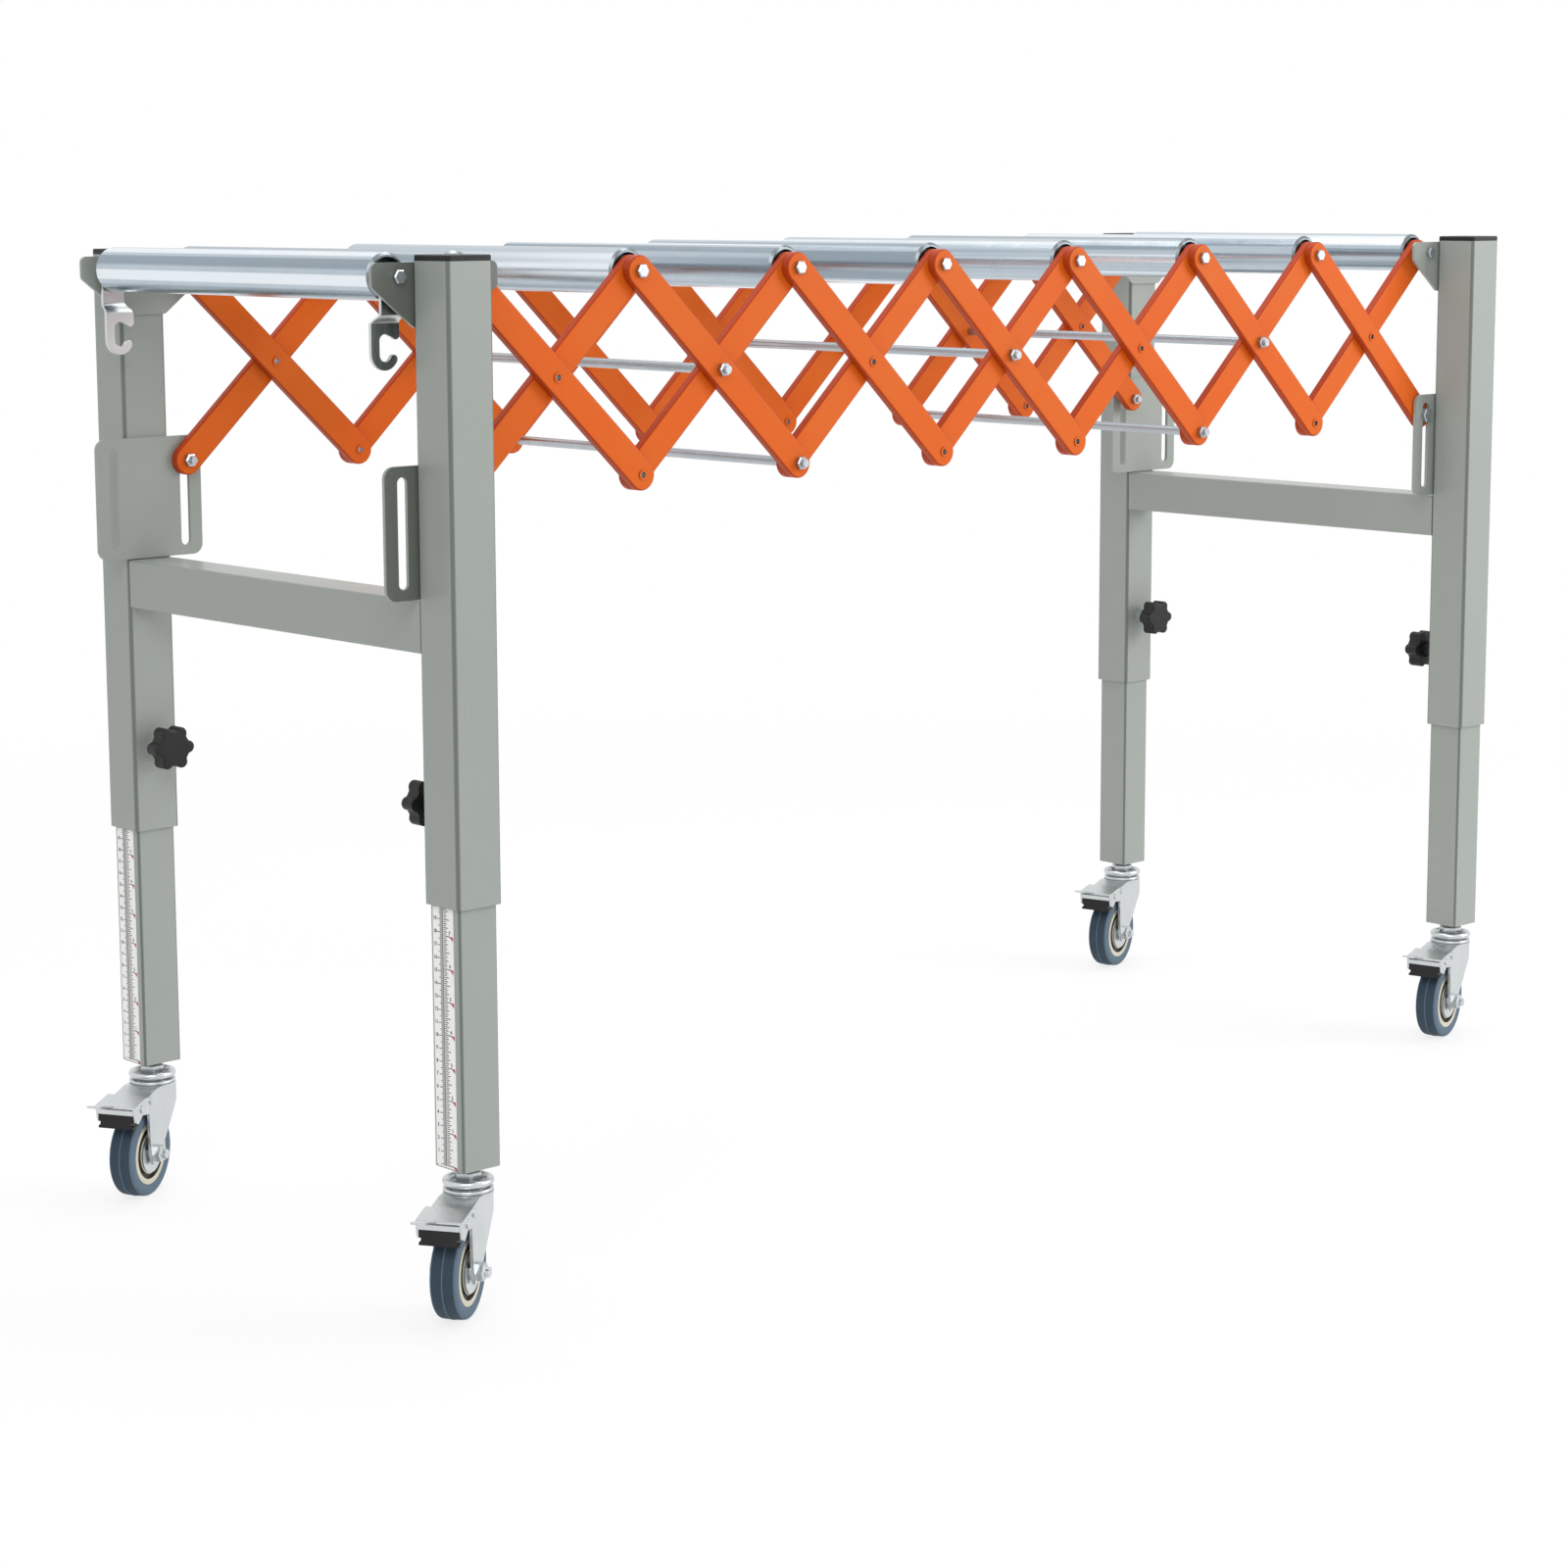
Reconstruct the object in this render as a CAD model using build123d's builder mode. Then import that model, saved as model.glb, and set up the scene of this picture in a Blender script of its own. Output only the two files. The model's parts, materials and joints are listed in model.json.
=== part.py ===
from build123d import *
import math
import os

# Extendable roller conveyor: X runs along the rollers' row, Y across it, Z up from the floor.
# All lengths are in millimetres, all angles in degrees.

# Layout of the scissor table
cell_count = 7
roller_pitch = 169
bar_reach = 232
least_pitch = 52.4
most_pitch = 176
middle_rod_every_count = 2
low_rod_every_count = 3
end_offset = 34
roller_below_post_top = 11.5

# Posts, crossbar and telescoping legs
post_side = 42
post_wall = 2.5
post_corner = 3.5
post_gauge = 440
post_length = 480
leg_side = 36
leg_wall = 1.8
leg_corner = 2.5
leg_show = 203
leg_length = 470
leg_foot_plate = 4
crossbar_side = 40
crossbar_wall = 2

# Post cap
cap_height = 4.5
cap_edge = 1.2
cap_plug_depth = 12
cap_plug_clearance = 0.2

# Trapezoid bracket and slotted plate on the inner face of each post
plate_thick = 3
bracket_top_width = 116
bracket_foot_width = 40
bracket_height = 48
bracket_lip = 18
bracket_below_post_top = 1
bracket_corner = 5
slot_plate_width = 100
slot_plate_margin = 8
slot_plate_corner = 9
slot_plate_lift = 1
slot_width = 9

# Scissor bars, pressed as shallow shells
bar_width = 25
bar_depth = 7
bar_wall = 2
bar_edge = 1.8
bar_plate_gap = 1
bar_layer_gap = 0.7

# Pins, bolts, rivets and tie rods
fit = 0.05
running_gap = 0.3
pin_radius = 3
hex_across = 10
hex_bevel_share = 0.2
bolt_head = 4
nut_height = 5
thread_show = 3
thread_grip = 25
thread_spare = 2
rivet_bore = 2.35
rivet_lip_radius = 4
rivet_lip = 0.8
tie_rod_radius = 4
shoulder_radius = 4.2
shoulder_hex_across = 13

# Rollers
roller_radius = 18
roller_length = 358
free_roller_length = 372
roller_wall = 1.5
roller_rim_radius = 16
spindle_radius = 6
bearing_radius = 9.5
bearing_inset = 2
bearing_width = 11
seal_width = 3
seal_inset = 3

# Clamp knobs
knob_rise = 72
knob_lobe_count = 6
knob_lobe_radius = 5.2
knob_lobe_reach = 13.8
knob_core_radius = 14.7
knob_thick = 14
knob_edge = 2
knob_valley = 2.5
knob_hub_radius = 8
knob_hub_length = 8
stud_radius = 4
stud_bury = 10
boss_radius = 8
boss_height = 8

# Casters
wheel_radius = 37.5
tyre_width = 22
tyre_shoulder = 4
core_radius = 27
core_width = 20
groove_inner = 18
groove_outer = 22.5
groove_depth = 4
hub_disc_radius = 17
hub_disc_thick = 1.5
hub_bush_radius = 6
axle_radius = 4
axle_hex_across = 13
axle_head = 5
axle_nut = 6.5
caster_trail = 26
fork_gap = 2.5
fork_wall = 2.5
crown_clearance = 15
crown_thick = 3
fork_rivet_radius = 2
fork_rivet_head_radius = 3.4
fork_rivet_head = 1.2
lower_race_radius = 19.5
lower_race = 3
lower_race_edge = 1.2
upper_race_radius = 20
upper_race = 6
upper_race_hub_radius = 14
upper_race_dish = 4
race_gap = 1.5
stem_radius = 6
stem_head_radius = 9
stem_head = 2.5
stem_washer_radius = 10
stem_washer = 1.5
stem_nut_across = 19
stem_nut = 8
stem_collar = 3
stem_bury = 10

# Brake pedal and shoe
pedal_wall = 2
pedal_width_gap = 0.3
tongue_width = 12
tongue_length = 25
tongue_side = 8
tongue_lift = 6.3
leaf_thick = 4
shoe_wheel_gap = 2
shoe_notch = 3.5

# Coupling hooks
hook_thick = 3
hook_strap_width = 20
hook_blade_width = 26
hook_drop = 69
hook_shoulder_drop = 31
hook_joggle = 9
hook_joggle_height = 6
hook_corner = 6
hook_slot_height = 20
hook_slot_width = 12
hook_slot_wall = 9.5
hook_slot_lower = 1
hook_mouth = 10
hook_bracket_gap = 5

# How far each caster has swung round from the row's direction, as it stands
caster_swing_angles = {"left_front": 33, "left_back": 30, "right_front": 14, "right_back": 16}

# Cuts run this far past the faces that they open
overrun = 2

# Points of a caster's side view: shares of the wheel's radius along, of the crown's height up
fork_outline_shares = (
    (0.32, 1.0),
    (0.32, 0.806),
    (-0.133, 0.565),
    (-0.45, 0.41),
    (-0.507, 0.315),
    (-0.88, 0.305),
    (-0.97, 0.495),
    (-1.0, 0.803),
    (-1.52, 0.835),
    (-1.613, 0.88),
    (-1.53, 0.914),
    (-1.20, 0.949),
    (-0.56, 1.0),
)
pedal_outline_shares = (
    (-1.20, 0.985),
    (-1.80, 0.943),
    (-1.75, 0.800),
    (-1.63, 0.774),
    (-1.50, 0.812),
    (-1.25, 0.903),
)
pedal_pivot_share = (-1.44, 0.8925)
fork_rivet_share = (-0.88, 0.914)
shoe_front_share = -1.79
shoe_step_share = -1.65
shoe_back_share = -1.20
shoe_foot_share = 0.735
shoe_top_share = 0.865

# Heights, worked up from the floor
axle_height = wheel_radius
crown_foot = 2 * wheel_radius + crown_clearance
crown_top = crown_foot + crown_thick
lower_race_top = crown_top + lower_race
upper_race_foot = lower_race_top + race_gap
upper_race_top = upper_race_foot + upper_race
stem_nut_foot = upper_race_top - upper_race_dish + stem_washer
leg_foot = stem_nut_foot + stem_nut + stem_collar
post_foot = leg_foot + leg_show
post_top = post_foot + post_length
knob_height = post_foot + knob_rise
top_pivot_height = post_top - roller_below_post_top
rest_drop = math.sqrt(bar_reach**2 - roller_pitch**2)
mid_pivot_height = top_pivot_height - rest_drop / 2
low_pivot_height = top_pivot_height - rest_drop
rest_angle = math.degrees(math.asin(rest_drop / bar_reach))

# The scissor's travel, between its least and its most roller pitch, and the slots that give it
folded_drop = math.sqrt(bar_reach**2 - least_pitch**2)
open_drop = math.sqrt(bar_reach**2 - most_pitch**2)
fold_closed = math.degrees(math.asin(folded_drop / bar_reach)) - rest_angle
fold_open = math.degrees(math.asin(open_drop / bar_reach)) - rest_angle
slot_foot = top_pivot_height - folded_drop - shoulder_radius - running_gap
slot_top = top_pivot_height - open_drop + shoulder_radius + running_gap
slot_plate_foot = slot_foot - slot_plate_margin
slot_plate_top = slot_top + slot_plate_margin
crossbar_top = slot_plate_foot - slot_plate_lift
crossbar_foot = crossbar_top - crossbar_side

# Places along X and across Y
frame_gap = cell_count * roller_pitch + 2 * end_offset
left_x = -frame_gap / 2
right_x = frame_gap / 2
post_inner = post_gauge / 2 - post_side / 2
plate_face = post_inner - plate_thick
outer_layer = plate_face - bar_plate_gap
inner_layer = outer_layer - bar_depth - bar_layer_gap
hook_face = plate_face - hook_bracket_gap

# The web of each bar looks toward the front; down bars run in front of up bars on both sides
down_front_y = -outer_layer
up_front_y = -inner_layer
down_back_y = inner_layer - bar_depth
up_back_y = outer_layer - bar_depth

# Both webs that a pin goes through, from the front face of one to the back face of the other
web_stack = up_front_y + bar_wall - down_front_y + running_gap
spindle_front = up_front_y + bar_wall + running_gap
spindle_back = down_back_y - running_gap


def top_x(index):
    """X of top pivot number index, counted from 1 at the left end frame."""
    return left_x + end_offset + (index - 1) * roller_pitch


def ring(inner, outer, low, high, edge=0):
    """A ring about Z between two heights, its outer edges rounded where edge is given."""
    with BuildPart() as solid:
        with BuildSketch(Plane.XY.offset(low)):
            Circle(outer)
            Circle(inner, mode=Mode.SUBTRACT)
        extrude(amount=high - low)
        if edge:
            fillet(solid.edges().filter_by(GeomType.CIRCLE).sort_by(SortBy.RADIUS)[-2:], edge)
    return solid.part


def hexagon(flats, low, high, hole=0):
    """A hexagonal head or nut about Z between two heights, with a bevelled rim."""
    corner = flats / 2 / math.cos(math.radians(30))
    bevel = (high - low) * hex_bevel_share
    with BuildPart() as solid:
        with BuildSketch(Plane.XY.offset(low)):
            RegularPolygon(corner, 6)
        extrude(amount=high - low)
        chamfer(solid.faces().sort_by(Axis.Z)[-1].outer_wire().edges(), bevel)
        if hole:
            with BuildSketch(Plane.XY.offset(low - overrun)):
                Circle(hole)
            extrude(amount=high - low + 2 * overrun, mode=Mode.SUBTRACT)
    return solid.part


def across(solid, x, y, z, toward_back=True):
    """A solid made about Z, laid along Y with its foot at the given point."""
    return solid.moved(Location((x, y, z), (-90 if toward_back else 90, 0, 0)))


def square_tube(side, wall, corner, length):
    """An upright square tube that stands on the XY plane."""
    with BuildPart() as tube:
        with BuildSketch():
            RectangleRounded(side, side, corner)
            RectangleRounded(side - 2 * wall, side - 2 * wall, corner - wall / 2, mode=Mode.SUBTRACT)
        extrude(amount=length)
    return tube.part


def make_post():
    """One outer post at the front, its foot at the origin and its inner face toward the back."""
    with BuildPart() as post:
        add(square_tube(post_side, post_wall, post_corner, post_length))
        with BuildSketch(Plane.XZ):
            with Locations((0, knob_height - post_foot)):
                Circle(stud_radius + running_gap)
        extrude(amount=-post_side, mode=Mode.SUBTRACT)
    return post.part


def make_crossbar():
    """The tube that joins the two posts, between their inner faces."""
    with BuildPart() as crossbar:
        with BuildSketch(Plane.XZ.offset(-post_inner)):
            with Locations((0, crossbar_foot + crossbar_side / 2)):
                RectangleRounded(crossbar_side, crossbar_side, crossbar_wall)
                inside = crossbar_side - 2 * crossbar_wall
                Rectangle(inside, inside, mode=Mode.SUBTRACT)
        extrude(amount=2 * post_inner)
    return crossbar.part


def make_bracket():
    """The trapezoid plate that carries a roller axle on each side of the post."""
    half_top = bracket_top_width / 2
    half_foot = bracket_foot_width / 2
    top = post_top - bracket_below_post_top
    with BuildPart() as bracket:
        with BuildSketch(Plane.XZ.offset(plate_face)):
            with BuildLine():
                Polyline(
                    (-half_top, top),
                    (half_top, top),
                    (half_top, top - bracket_lip),
                    (half_foot, top - bracket_height),
                    (-half_foot, top - bracket_height),
                    (-half_top, top - bracket_lip),
                    close=True,
                )
            make_face()
        extrude(amount=plate_thick)
        fillet(bracket.edges().filter_by(Axis.Y), bracket_corner)
        with BuildSketch(Plane.XZ.offset(plate_face - overrun)):
            with Locations((-end_offset, top_pivot_height), (end_offset, top_pivot_height)):
                Circle(pin_radius + fit)
        extrude(amount=plate_thick + 2 * overrun, mode=Mode.SUBTRACT)
    return bracket.part


def make_slot_plate():
    """The plate with an upright slot each side of the post, in which the scissor's end pins run."""
    middle = (slot_foot + slot_top) / 2
    with BuildPart() as plate:
        with BuildSketch(Plane.XZ.offset(plate_face)):
            with Locations((0, middle)):
                height = slot_plate_top - slot_plate_foot
                RectangleRounded(slot_plate_width, height, slot_plate_corner)
            with Locations((-end_offset, middle), (end_offset, middle)):
                SlotOverall(slot_top - slot_foot, slot_width, rotation=90, mode=Mode.SUBTRACT)
        extrude(amount=plate_thick)
    return plate.part


def make_cap():
    """The black cap that plugs the top of a post, with the post's axis on the origin."""
    plug_side = post_side - 2 * post_wall - 2 * cap_plug_clearance
    with BuildPart() as cap:
        with BuildSketch(Plane.XY.offset(post_top)):
            RectangleRounded(post_side, post_side, post_corner)
        extrude(amount=cap_height)
        fillet(cap.faces().sort_by(Axis.Z)[-1].outer_wire().edges(), cap_edge)
        with BuildSketch(Plane.XY.offset(post_top)):
            RectangleRounded(plug_side, plug_side, post_corner - post_wall / 2)
        extrude(amount=-cap_plug_depth)
    return cap.part


def make_bar():
    """One scissor bar, its web's face on the XZ plane and its middle pivot on the origin."""
    with BuildPart() as bar:
        with BuildSketch(Plane.XZ):
            SlotCenterToCenter(bar_reach, bar_width)
        extrude(amount=-bar_depth)
        fillet(bar.faces().sort_by(Axis.Y)[0].outer_wire().edges(), bar_edge)
        with BuildSketch(Plane.XZ.offset(-bar_wall)):
            SlotCenterToCenter(bar_reach, bar_width - 2 * bar_wall)
        extrude(amount=-bar_depth, mode=Mode.SUBTRACT)
        with BuildSketch(Plane.XZ.offset(overrun)):
            with Locations((-bar_reach / 2, 0), (0, 0), (bar_reach / 2, 0)):
                Circle(pin_radius + fit)
        extrude(amount=-bar_depth, mode=Mode.SUBTRACT)
    return bar.part


def make_rivet():
    """A hollow rivet about Z, its lower lip's seat on the XY plane."""
    with BuildPart() as rivet:
        with BuildSketch(Plane.XY.offset(-rivet_lip)):
            Circle(pin_radius)
        extrude(amount=web_stack + 2 * rivet_lip)
        with BuildSketch(Plane.XY.offset(-rivet_lip)):
            Circle(rivet_lip_radius)
        extrude(amount=rivet_lip)
        with BuildSketch(Plane.XY.offset(web_stack)):
            Circle(rivet_lip_radius)
        extrude(amount=rivet_lip)
        with BuildSketch(Plane.XY.offset(-rivet_lip)):
            Circle(rivet_bore)
        extrude(amount=web_stack + 2 * rivet_lip, mode=Mode.SUBTRACT)
    return rivet.part


def make_bolt(shank):
    """A hexagon bolt about Z, its head below the XY plane and its shank above."""
    with BuildPart() as bolt:
        add(hexagon(hex_across, 0, bolt_head).moved(Location((0, 0, 0), (180, 0, 0))))
        with BuildSketch():
            Circle(pin_radius)
        extrude(amount=shank)
    return bolt.part


def make_shoulder_bolt(shoulder, shank):
    """A bolt whose shoulder runs in a slot, its head below the XY plane."""
    with BuildPart() as bolt:
        add(hexagon(shoulder_hex_across, 0, bolt_head).moved(Location((0, 0, 0), (180, 0, 0))))
        with BuildSketch():
            Circle(shoulder_radius)
        extrude(amount=shoulder)
        with BuildSketch(Plane.XY.offset(shoulder)):
            Circle(pin_radius)
        extrude(amount=shank)
    return bolt.part


def make_nut():
    """A nut about Z that stands on the XY plane."""
    return hexagon(hex_across, 0, nut_height, hole=pin_radius + fit)


def make_tie_rod():
    """A rod across the table, stepped down where it goes through the bars and their nuts."""
    front_tip = down_front_y - nut_height - thread_show
    back_tip = up_back_y + bar_wall + running_gap + nut_height + thread_show
    with BuildPart() as rod:
        with BuildSketch(Plane.XZ.offset(-spindle_front)):
            Circle(tie_rod_radius)
        extrude(amount=-(down_back_y - spindle_front))
        with BuildSketch(Plane.XZ.offset(-front_tip)):
            Circle(pin_radius)
        extrude(amount=-(back_tip - front_tip))
    return rod.part


def make_spindle(front, back):
    """A roller's axle between two places across Y, drilled at both ends for its bolts."""
    front_depth = -thread_grip - thread_spare
    with BuildPart() as spindle:
        with BuildSketch(Plane.XZ.offset(-front)):
            Circle(spindle_radius)
        extrude(amount=-(back - front))
        with BuildSketch(Plane.XZ.offset(-front)):
            Circle(pin_radius + fit)
        extrude(amount=front_depth, mode=Mode.SUBTRACT)
        with BuildSketch(Plane.XZ.offset(-back)):
            Circle(pin_radius + fit)
        extrude(amount=-front_depth, mode=Mode.SUBTRACT)
    return spindle.part


def bolted_axle(x, front, back, front_seat, back_seat):
    """A roller's axle and its two bolts, whose heads sit on the given faces."""
    spindle = make_spindle(front, back).moved(Location((x, 0, top_pivot_height)))
    front_bolt = make_bolt(front + thread_grip - front_seat)
    back_bolt = make_bolt(back_seat - back + thread_grip)
    return [
        spindle,
        across(front_bolt, x, front_seat, top_pivot_height),
        across(back_bolt, x, back_seat, top_pivot_height, toward_back=False),
    ]


def make_roller_shell(half):
    """A roller's tube of the given half length with its two rims rolled in, about Y."""
    inner = roller_radius - roller_wall
    with BuildPart() as shell:
        with BuildSketch(Plane.XY):
            with BuildLine():
                Polyline(
                    (inner, -half + roller_wall),
                    (inner, half - roller_wall),
                    (roller_rim_radius - roller_wall, half - roller_wall),
                    (roller_rim_radius - roller_wall, half),
                    (roller_rim_radius, half),
                    (roller_radius, half - roller_radius + roller_rim_radius),
                    (roller_radius, -half + roller_radius - roller_rim_radius),
                    (roller_rim_radius, -half),
                    (roller_rim_radius - roller_wall, -half),
                    (roller_rim_radius - roller_wall, -half + roller_wall),
                    close=True,
                )
            make_face()
        revolve(axis=Axis.Y)
    return shell.part


def make_bearing():
    """The zinc bearing housing in a roller's end, about Z, its outer end on the XY plane."""
    inner = roller_radius - roller_wall
    with BuildPart() as bearing:
        with BuildSketch():
            Circle(bearing_radius)
        extrude(amount=-bearing_width)
        with BuildSketch(Plane.XY.offset(-bearing_width)):
            Circle(inner)
        extrude(amount=seal_width)
        with BuildSketch():
            Circle(spindle_radius + fit)
        extrude(amount=-bearing_width, mode=Mode.SUBTRACT)
    return bearing.part


def roller_solids(length):
    """The solids of one roller about Y: tube, bearing housings and black seals."""
    end = length / 2 - bearing_inset
    seal_foot = -seal_inset - seal_width
    seal = ring(bearing_radius, roller_radius - roller_wall, seal_foot, -seal_inset)
    bearing = make_bearing()
    solids = [make_roller_shell(length / 2)]
    for side, back in ((1, True), (-1, False)):
        solids.append(across(bearing, 0, side * end, 0, toward_back=back))
        solids.append(across(seal, 0, side * end, 0, toward_back=back))
    return solids


def make_knob():
    """The clamp knob's star, about Z, its hub's foot on the XY plane."""
    with BuildPart() as knob:
        with BuildSketch(Plane.XY.offset(knob_hub_length)) as star:
            Circle(knob_core_radius)
            with PolarLocations(knob_lobe_reach, knob_lobe_count):
                Circle(knob_lobe_radius)
            fillet(star.vertices(), knob_valley)
        extrude(amount=knob_thick)
        fillet(knob.faces().sort_by(Axis.Z)[-1].outer_wire().edges(), knob_edge)
        with BuildSketch():
            Circle(knob_hub_radius)
        extrude(amount=knob_hub_length)
        with BuildSketch():
            Circle(stud_radius)
        extrude(amount=stud_bury, mode=Mode.SUBTRACT)
    return knob.part


def make_stud():
    """The knob's stud about Z, from inside the hub down to the leg."""
    reach = boss_height + running_gap + post_wall + (post_side - 2 * post_wall - leg_side) / 2
    with BuildPart() as stud:
        with BuildSketch(Plane.XY.offset(stud_bury)):
            Circle(stud_radius)
        extrude(amount=-stud_bury - reach + running_gap)
    return stud.part


def make_hook():
    """A coupling hook that hangs from the origin, its strap's outer face on the XZ plane."""
    half_strap = hook_strap_width / 2
    half_blade = hook_blade_width / 2
    step_top = -hook_shoulder_drop + hook_joggle_height / 2
    step_foot = -hook_shoulder_drop - hook_joggle_height / 2
    blade_middle = -(hook_shoulder_drop + hook_drop) / 2
    slot_middle = blade_middle - hook_slot_lower
    slot_left = -half_blade + hook_slot_wall
    with BuildPart() as hook:
        with BuildSketch(Plane.YZ):
            with BuildLine():
                Polyline(
                    (0, half_strap),
                    (hook_thick, half_strap),
                    (hook_thick, step_top),
                    (hook_joggle + hook_thick, step_foot),
                    (hook_joggle + hook_thick, -hook_drop),
                    (hook_joggle, -hook_drop),
                    (hook_joggle, step_foot),
                    (0, step_top),
                    close=True,
                )
            make_face()
        extrude(amount=half_blade, both=True)
        with BuildSketch(Plane.XZ.offset(overrun)):
            Circle(half_strap)
            with Locations((0, -hook_shoulder_drop / 2)):
                Rectangle(hook_strap_width, hook_shoulder_drop)
            with Locations((0, blade_middle)):
                RectangleRounded(hook_blade_width, hook_drop - hook_shoulder_drop, hook_corner)
            Circle(spindle_radius + fit, mode=Mode.SUBTRACT)
            with Locations((slot_left + hook_slot_width / 2, slot_middle)):
                SlotOverall(hook_slot_height, hook_slot_width, rotation=90, mode=Mode.SUBTRACT)
            with Locations((slot_left + half_blade, slot_middle)):
                Rectangle(hook_blade_width, hook_mouth, mode=Mode.SUBTRACT)
        extrude(amount=-(hook_joggle + hook_thick + 2 * overrun), mode=Mode.INTERSECT)
    return hook.part


def caster_point(share):
    """A point of a caster's side view, from its shares of wheel radius and crown height."""
    return (share[0] * wheel_radius, share[1] * crown_top)


def make_fork():
    """The pressed fork about the swivel's axis, its wheel trailing toward -X."""
    outer_half = tyre_width / 2 + fork_gap + fork_wall
    inner_half = outer_half - fork_wall
    outline = [caster_point(share) for share in fork_outline_shares]
    hollow = [(x, z - crown_thick) for x, z in outline[-2:]]
    with BuildPart() as fork:
        with BuildSketch(Plane.XZ):
            with BuildLine():
                Polyline(*outline, close=True)
            make_face()
        extrude(amount=outer_half, both=True)
        low_corners = fork.edges().filter_by(Axis.Y).sort_by(Axis.Z)[:4]
        fillet(low_corners, crown_thick)
        with BuildSketch(Plane.XZ):
            with BuildLine():
                Polyline(
                    (-2 * wheel_radius, 0),
                    (wheel_radius, 0),
                    (wheel_radius, crown_foot),
                    hollow[1],
                    hollow[0],
                    (hollow[0][0], crown_top),
                    (-2 * wheel_radius, crown_top),
                    close=True,
                )
            make_face()
        extrude(amount=inner_half, both=True, mode=Mode.SUBTRACT)
        with BuildSketch(Plane.XY.offset(crown_foot)):
            Circle(lower_race_radius)
        extrude(amount=crown_thick)
        with BuildSketch():
            Circle(stem_radius + fit)
        extrude(amount=crown_top + overrun, mode=Mode.SUBTRACT)
        with BuildSketch(Plane.XZ.offset(outer_half + overrun)):
            with Locations((-caster_trail, axle_height)):
                Circle(axle_radius + fit)
            with Locations(caster_point(pedal_pivot_share), caster_point(fork_rivet_share)):
                Circle(fork_rivet_radius + fit)
        extrude(amount=-2 * (outer_half + overrun), mode=Mode.SUBTRACT)
    return fork.part


def make_fork_rivet(point, half_grip):
    """A headed cross pin about Y at a point of the side view."""
    with BuildPart() as rivet:
        with BuildSketch(Plane.XZ):
            with Locations(point):
                Circle(fork_rivet_radius)
        extrude(amount=half_grip + fork_rivet_head, both=True)
        for place in (half_grip, -half_grip - fork_rivet_head):
            with BuildSketch(Plane.XZ.offset(place)):
                with Locations(point):
                    Circle(fork_rivet_head_radius)
            extrude(amount=fork_rivet_head)
    return rivet.part


def fork_solids():
    """The fork with its lower race, cross rivets and axle bolt."""
    outer_half = tyre_width / 2 + fork_gap + fork_wall
    cheek_half = outer_half + pedal_width_gap + pedal_wall
    with BuildPart() as axle:
        add(hexagon(axle_hex_across, 0, axle_head).moved(Location((0, 0, 0), (180, 0, 0))))
        with BuildSketch():
            Circle(axle_radius)
        extrude(amount=2 * outer_half + axle_nut + thread_show)
    nut = hexagon(axle_hex_across, 0, axle_nut, hole=axle_radius + fit)
    return [
        make_fork(),
        ring(stem_radius + fit, lower_race_radius, crown_top, lower_race_top, lower_race_edge),
        make_fork_rivet(caster_point(fork_rivet_share), outer_half),
        make_fork_rivet(caster_point(pedal_pivot_share), cheek_half + fit),
        across(axle.part, -caster_trail, outer_half, axle_height, toward_back=False),
        across(nut, -caster_trail, -outer_half, axle_height, toward_back=False),
    ]


def pedal_inner_half():
    """Half the width between the pedal's cheeks, which stand outside the fork."""
    return tyre_width / 2 + fork_gap + fork_wall + pedal_width_gap


def make_pedal():
    """The brake pedal: two cheeks outside the fork's ears, a top plate and a tongue."""
    inner_half = pedal_inner_half()
    outer_half = inner_half + pedal_wall
    outline = [caster_point(share) for share in pedal_outline_shares]
    hollow = [(x, z - pedal_wall) for x, z in outline[:2]]
    tip_x = outline[1][0] - tongue_length
    tip_z = outline[1][1] + tongue_lift
    with BuildPart() as pedal:
        with BuildSketch(Plane.XZ):
            with BuildLine():
                Polyline(*outline, close=True)
            make_face()
        extrude(amount=outer_half, both=True)
        with BuildSketch(Plane.XZ):
            with BuildLine():
                Polyline(
                    (hollow[0][0] + wheel_radius, hollow[0][1]),
                    hollow[0],
                    hollow[1],
                    (hollow[1][0] - wheel_radius, hollow[1][1]),
                    (hollow[1][0] - wheel_radius, 0),
                    (hollow[0][0] + wheel_radius, 0),
                    close=True,
                )
            make_face()
        extrude(amount=inner_half, both=True, mode=Mode.SUBTRACT)
        with BuildSketch(Plane.XZ.offset(-tongue_side)):
            with BuildLine():
                Polyline(
                    outline[1],
                    (tip_x, tip_z),
                    (tip_x, tip_z - pedal_wall),
                    hollow[1],
                    close=True,
                )
            make_face()
        extrude(amount=tongue_width / 2, both=True)
        tip_edges = pedal.edges().filter_by(Axis.Z).sort_by(Axis.X)[:2]
        fillet(tip_edges, tongue_width / 3)
        with BuildSketch(Plane.XZ.offset(outer_half + overrun)):
            with Locations(caster_point(pedal_pivot_share)):
                Circle(fork_rivet_radius + fit)
        extrude(amount=-2 * (outer_half + overrun), mode=Mode.SUBTRACT)
    return pedal.part


def make_leaf():
    """The steel leaf between the pedal's cheeks, on which the shoe is held."""
    front = shoe_front_share * wheel_radius
    step = shoe_step_share * wheel_radius
    with BuildPart() as leaf:
        with BuildSketch(Plane.XY.offset(shoe_top_share * crown_top)):
            with Locations(((front + step) / 2, 0)):
                Rectangle(step - front, 2 * pedal_inner_half())
        extrude(amount=leaf_thick)
    return leaf.part


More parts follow.
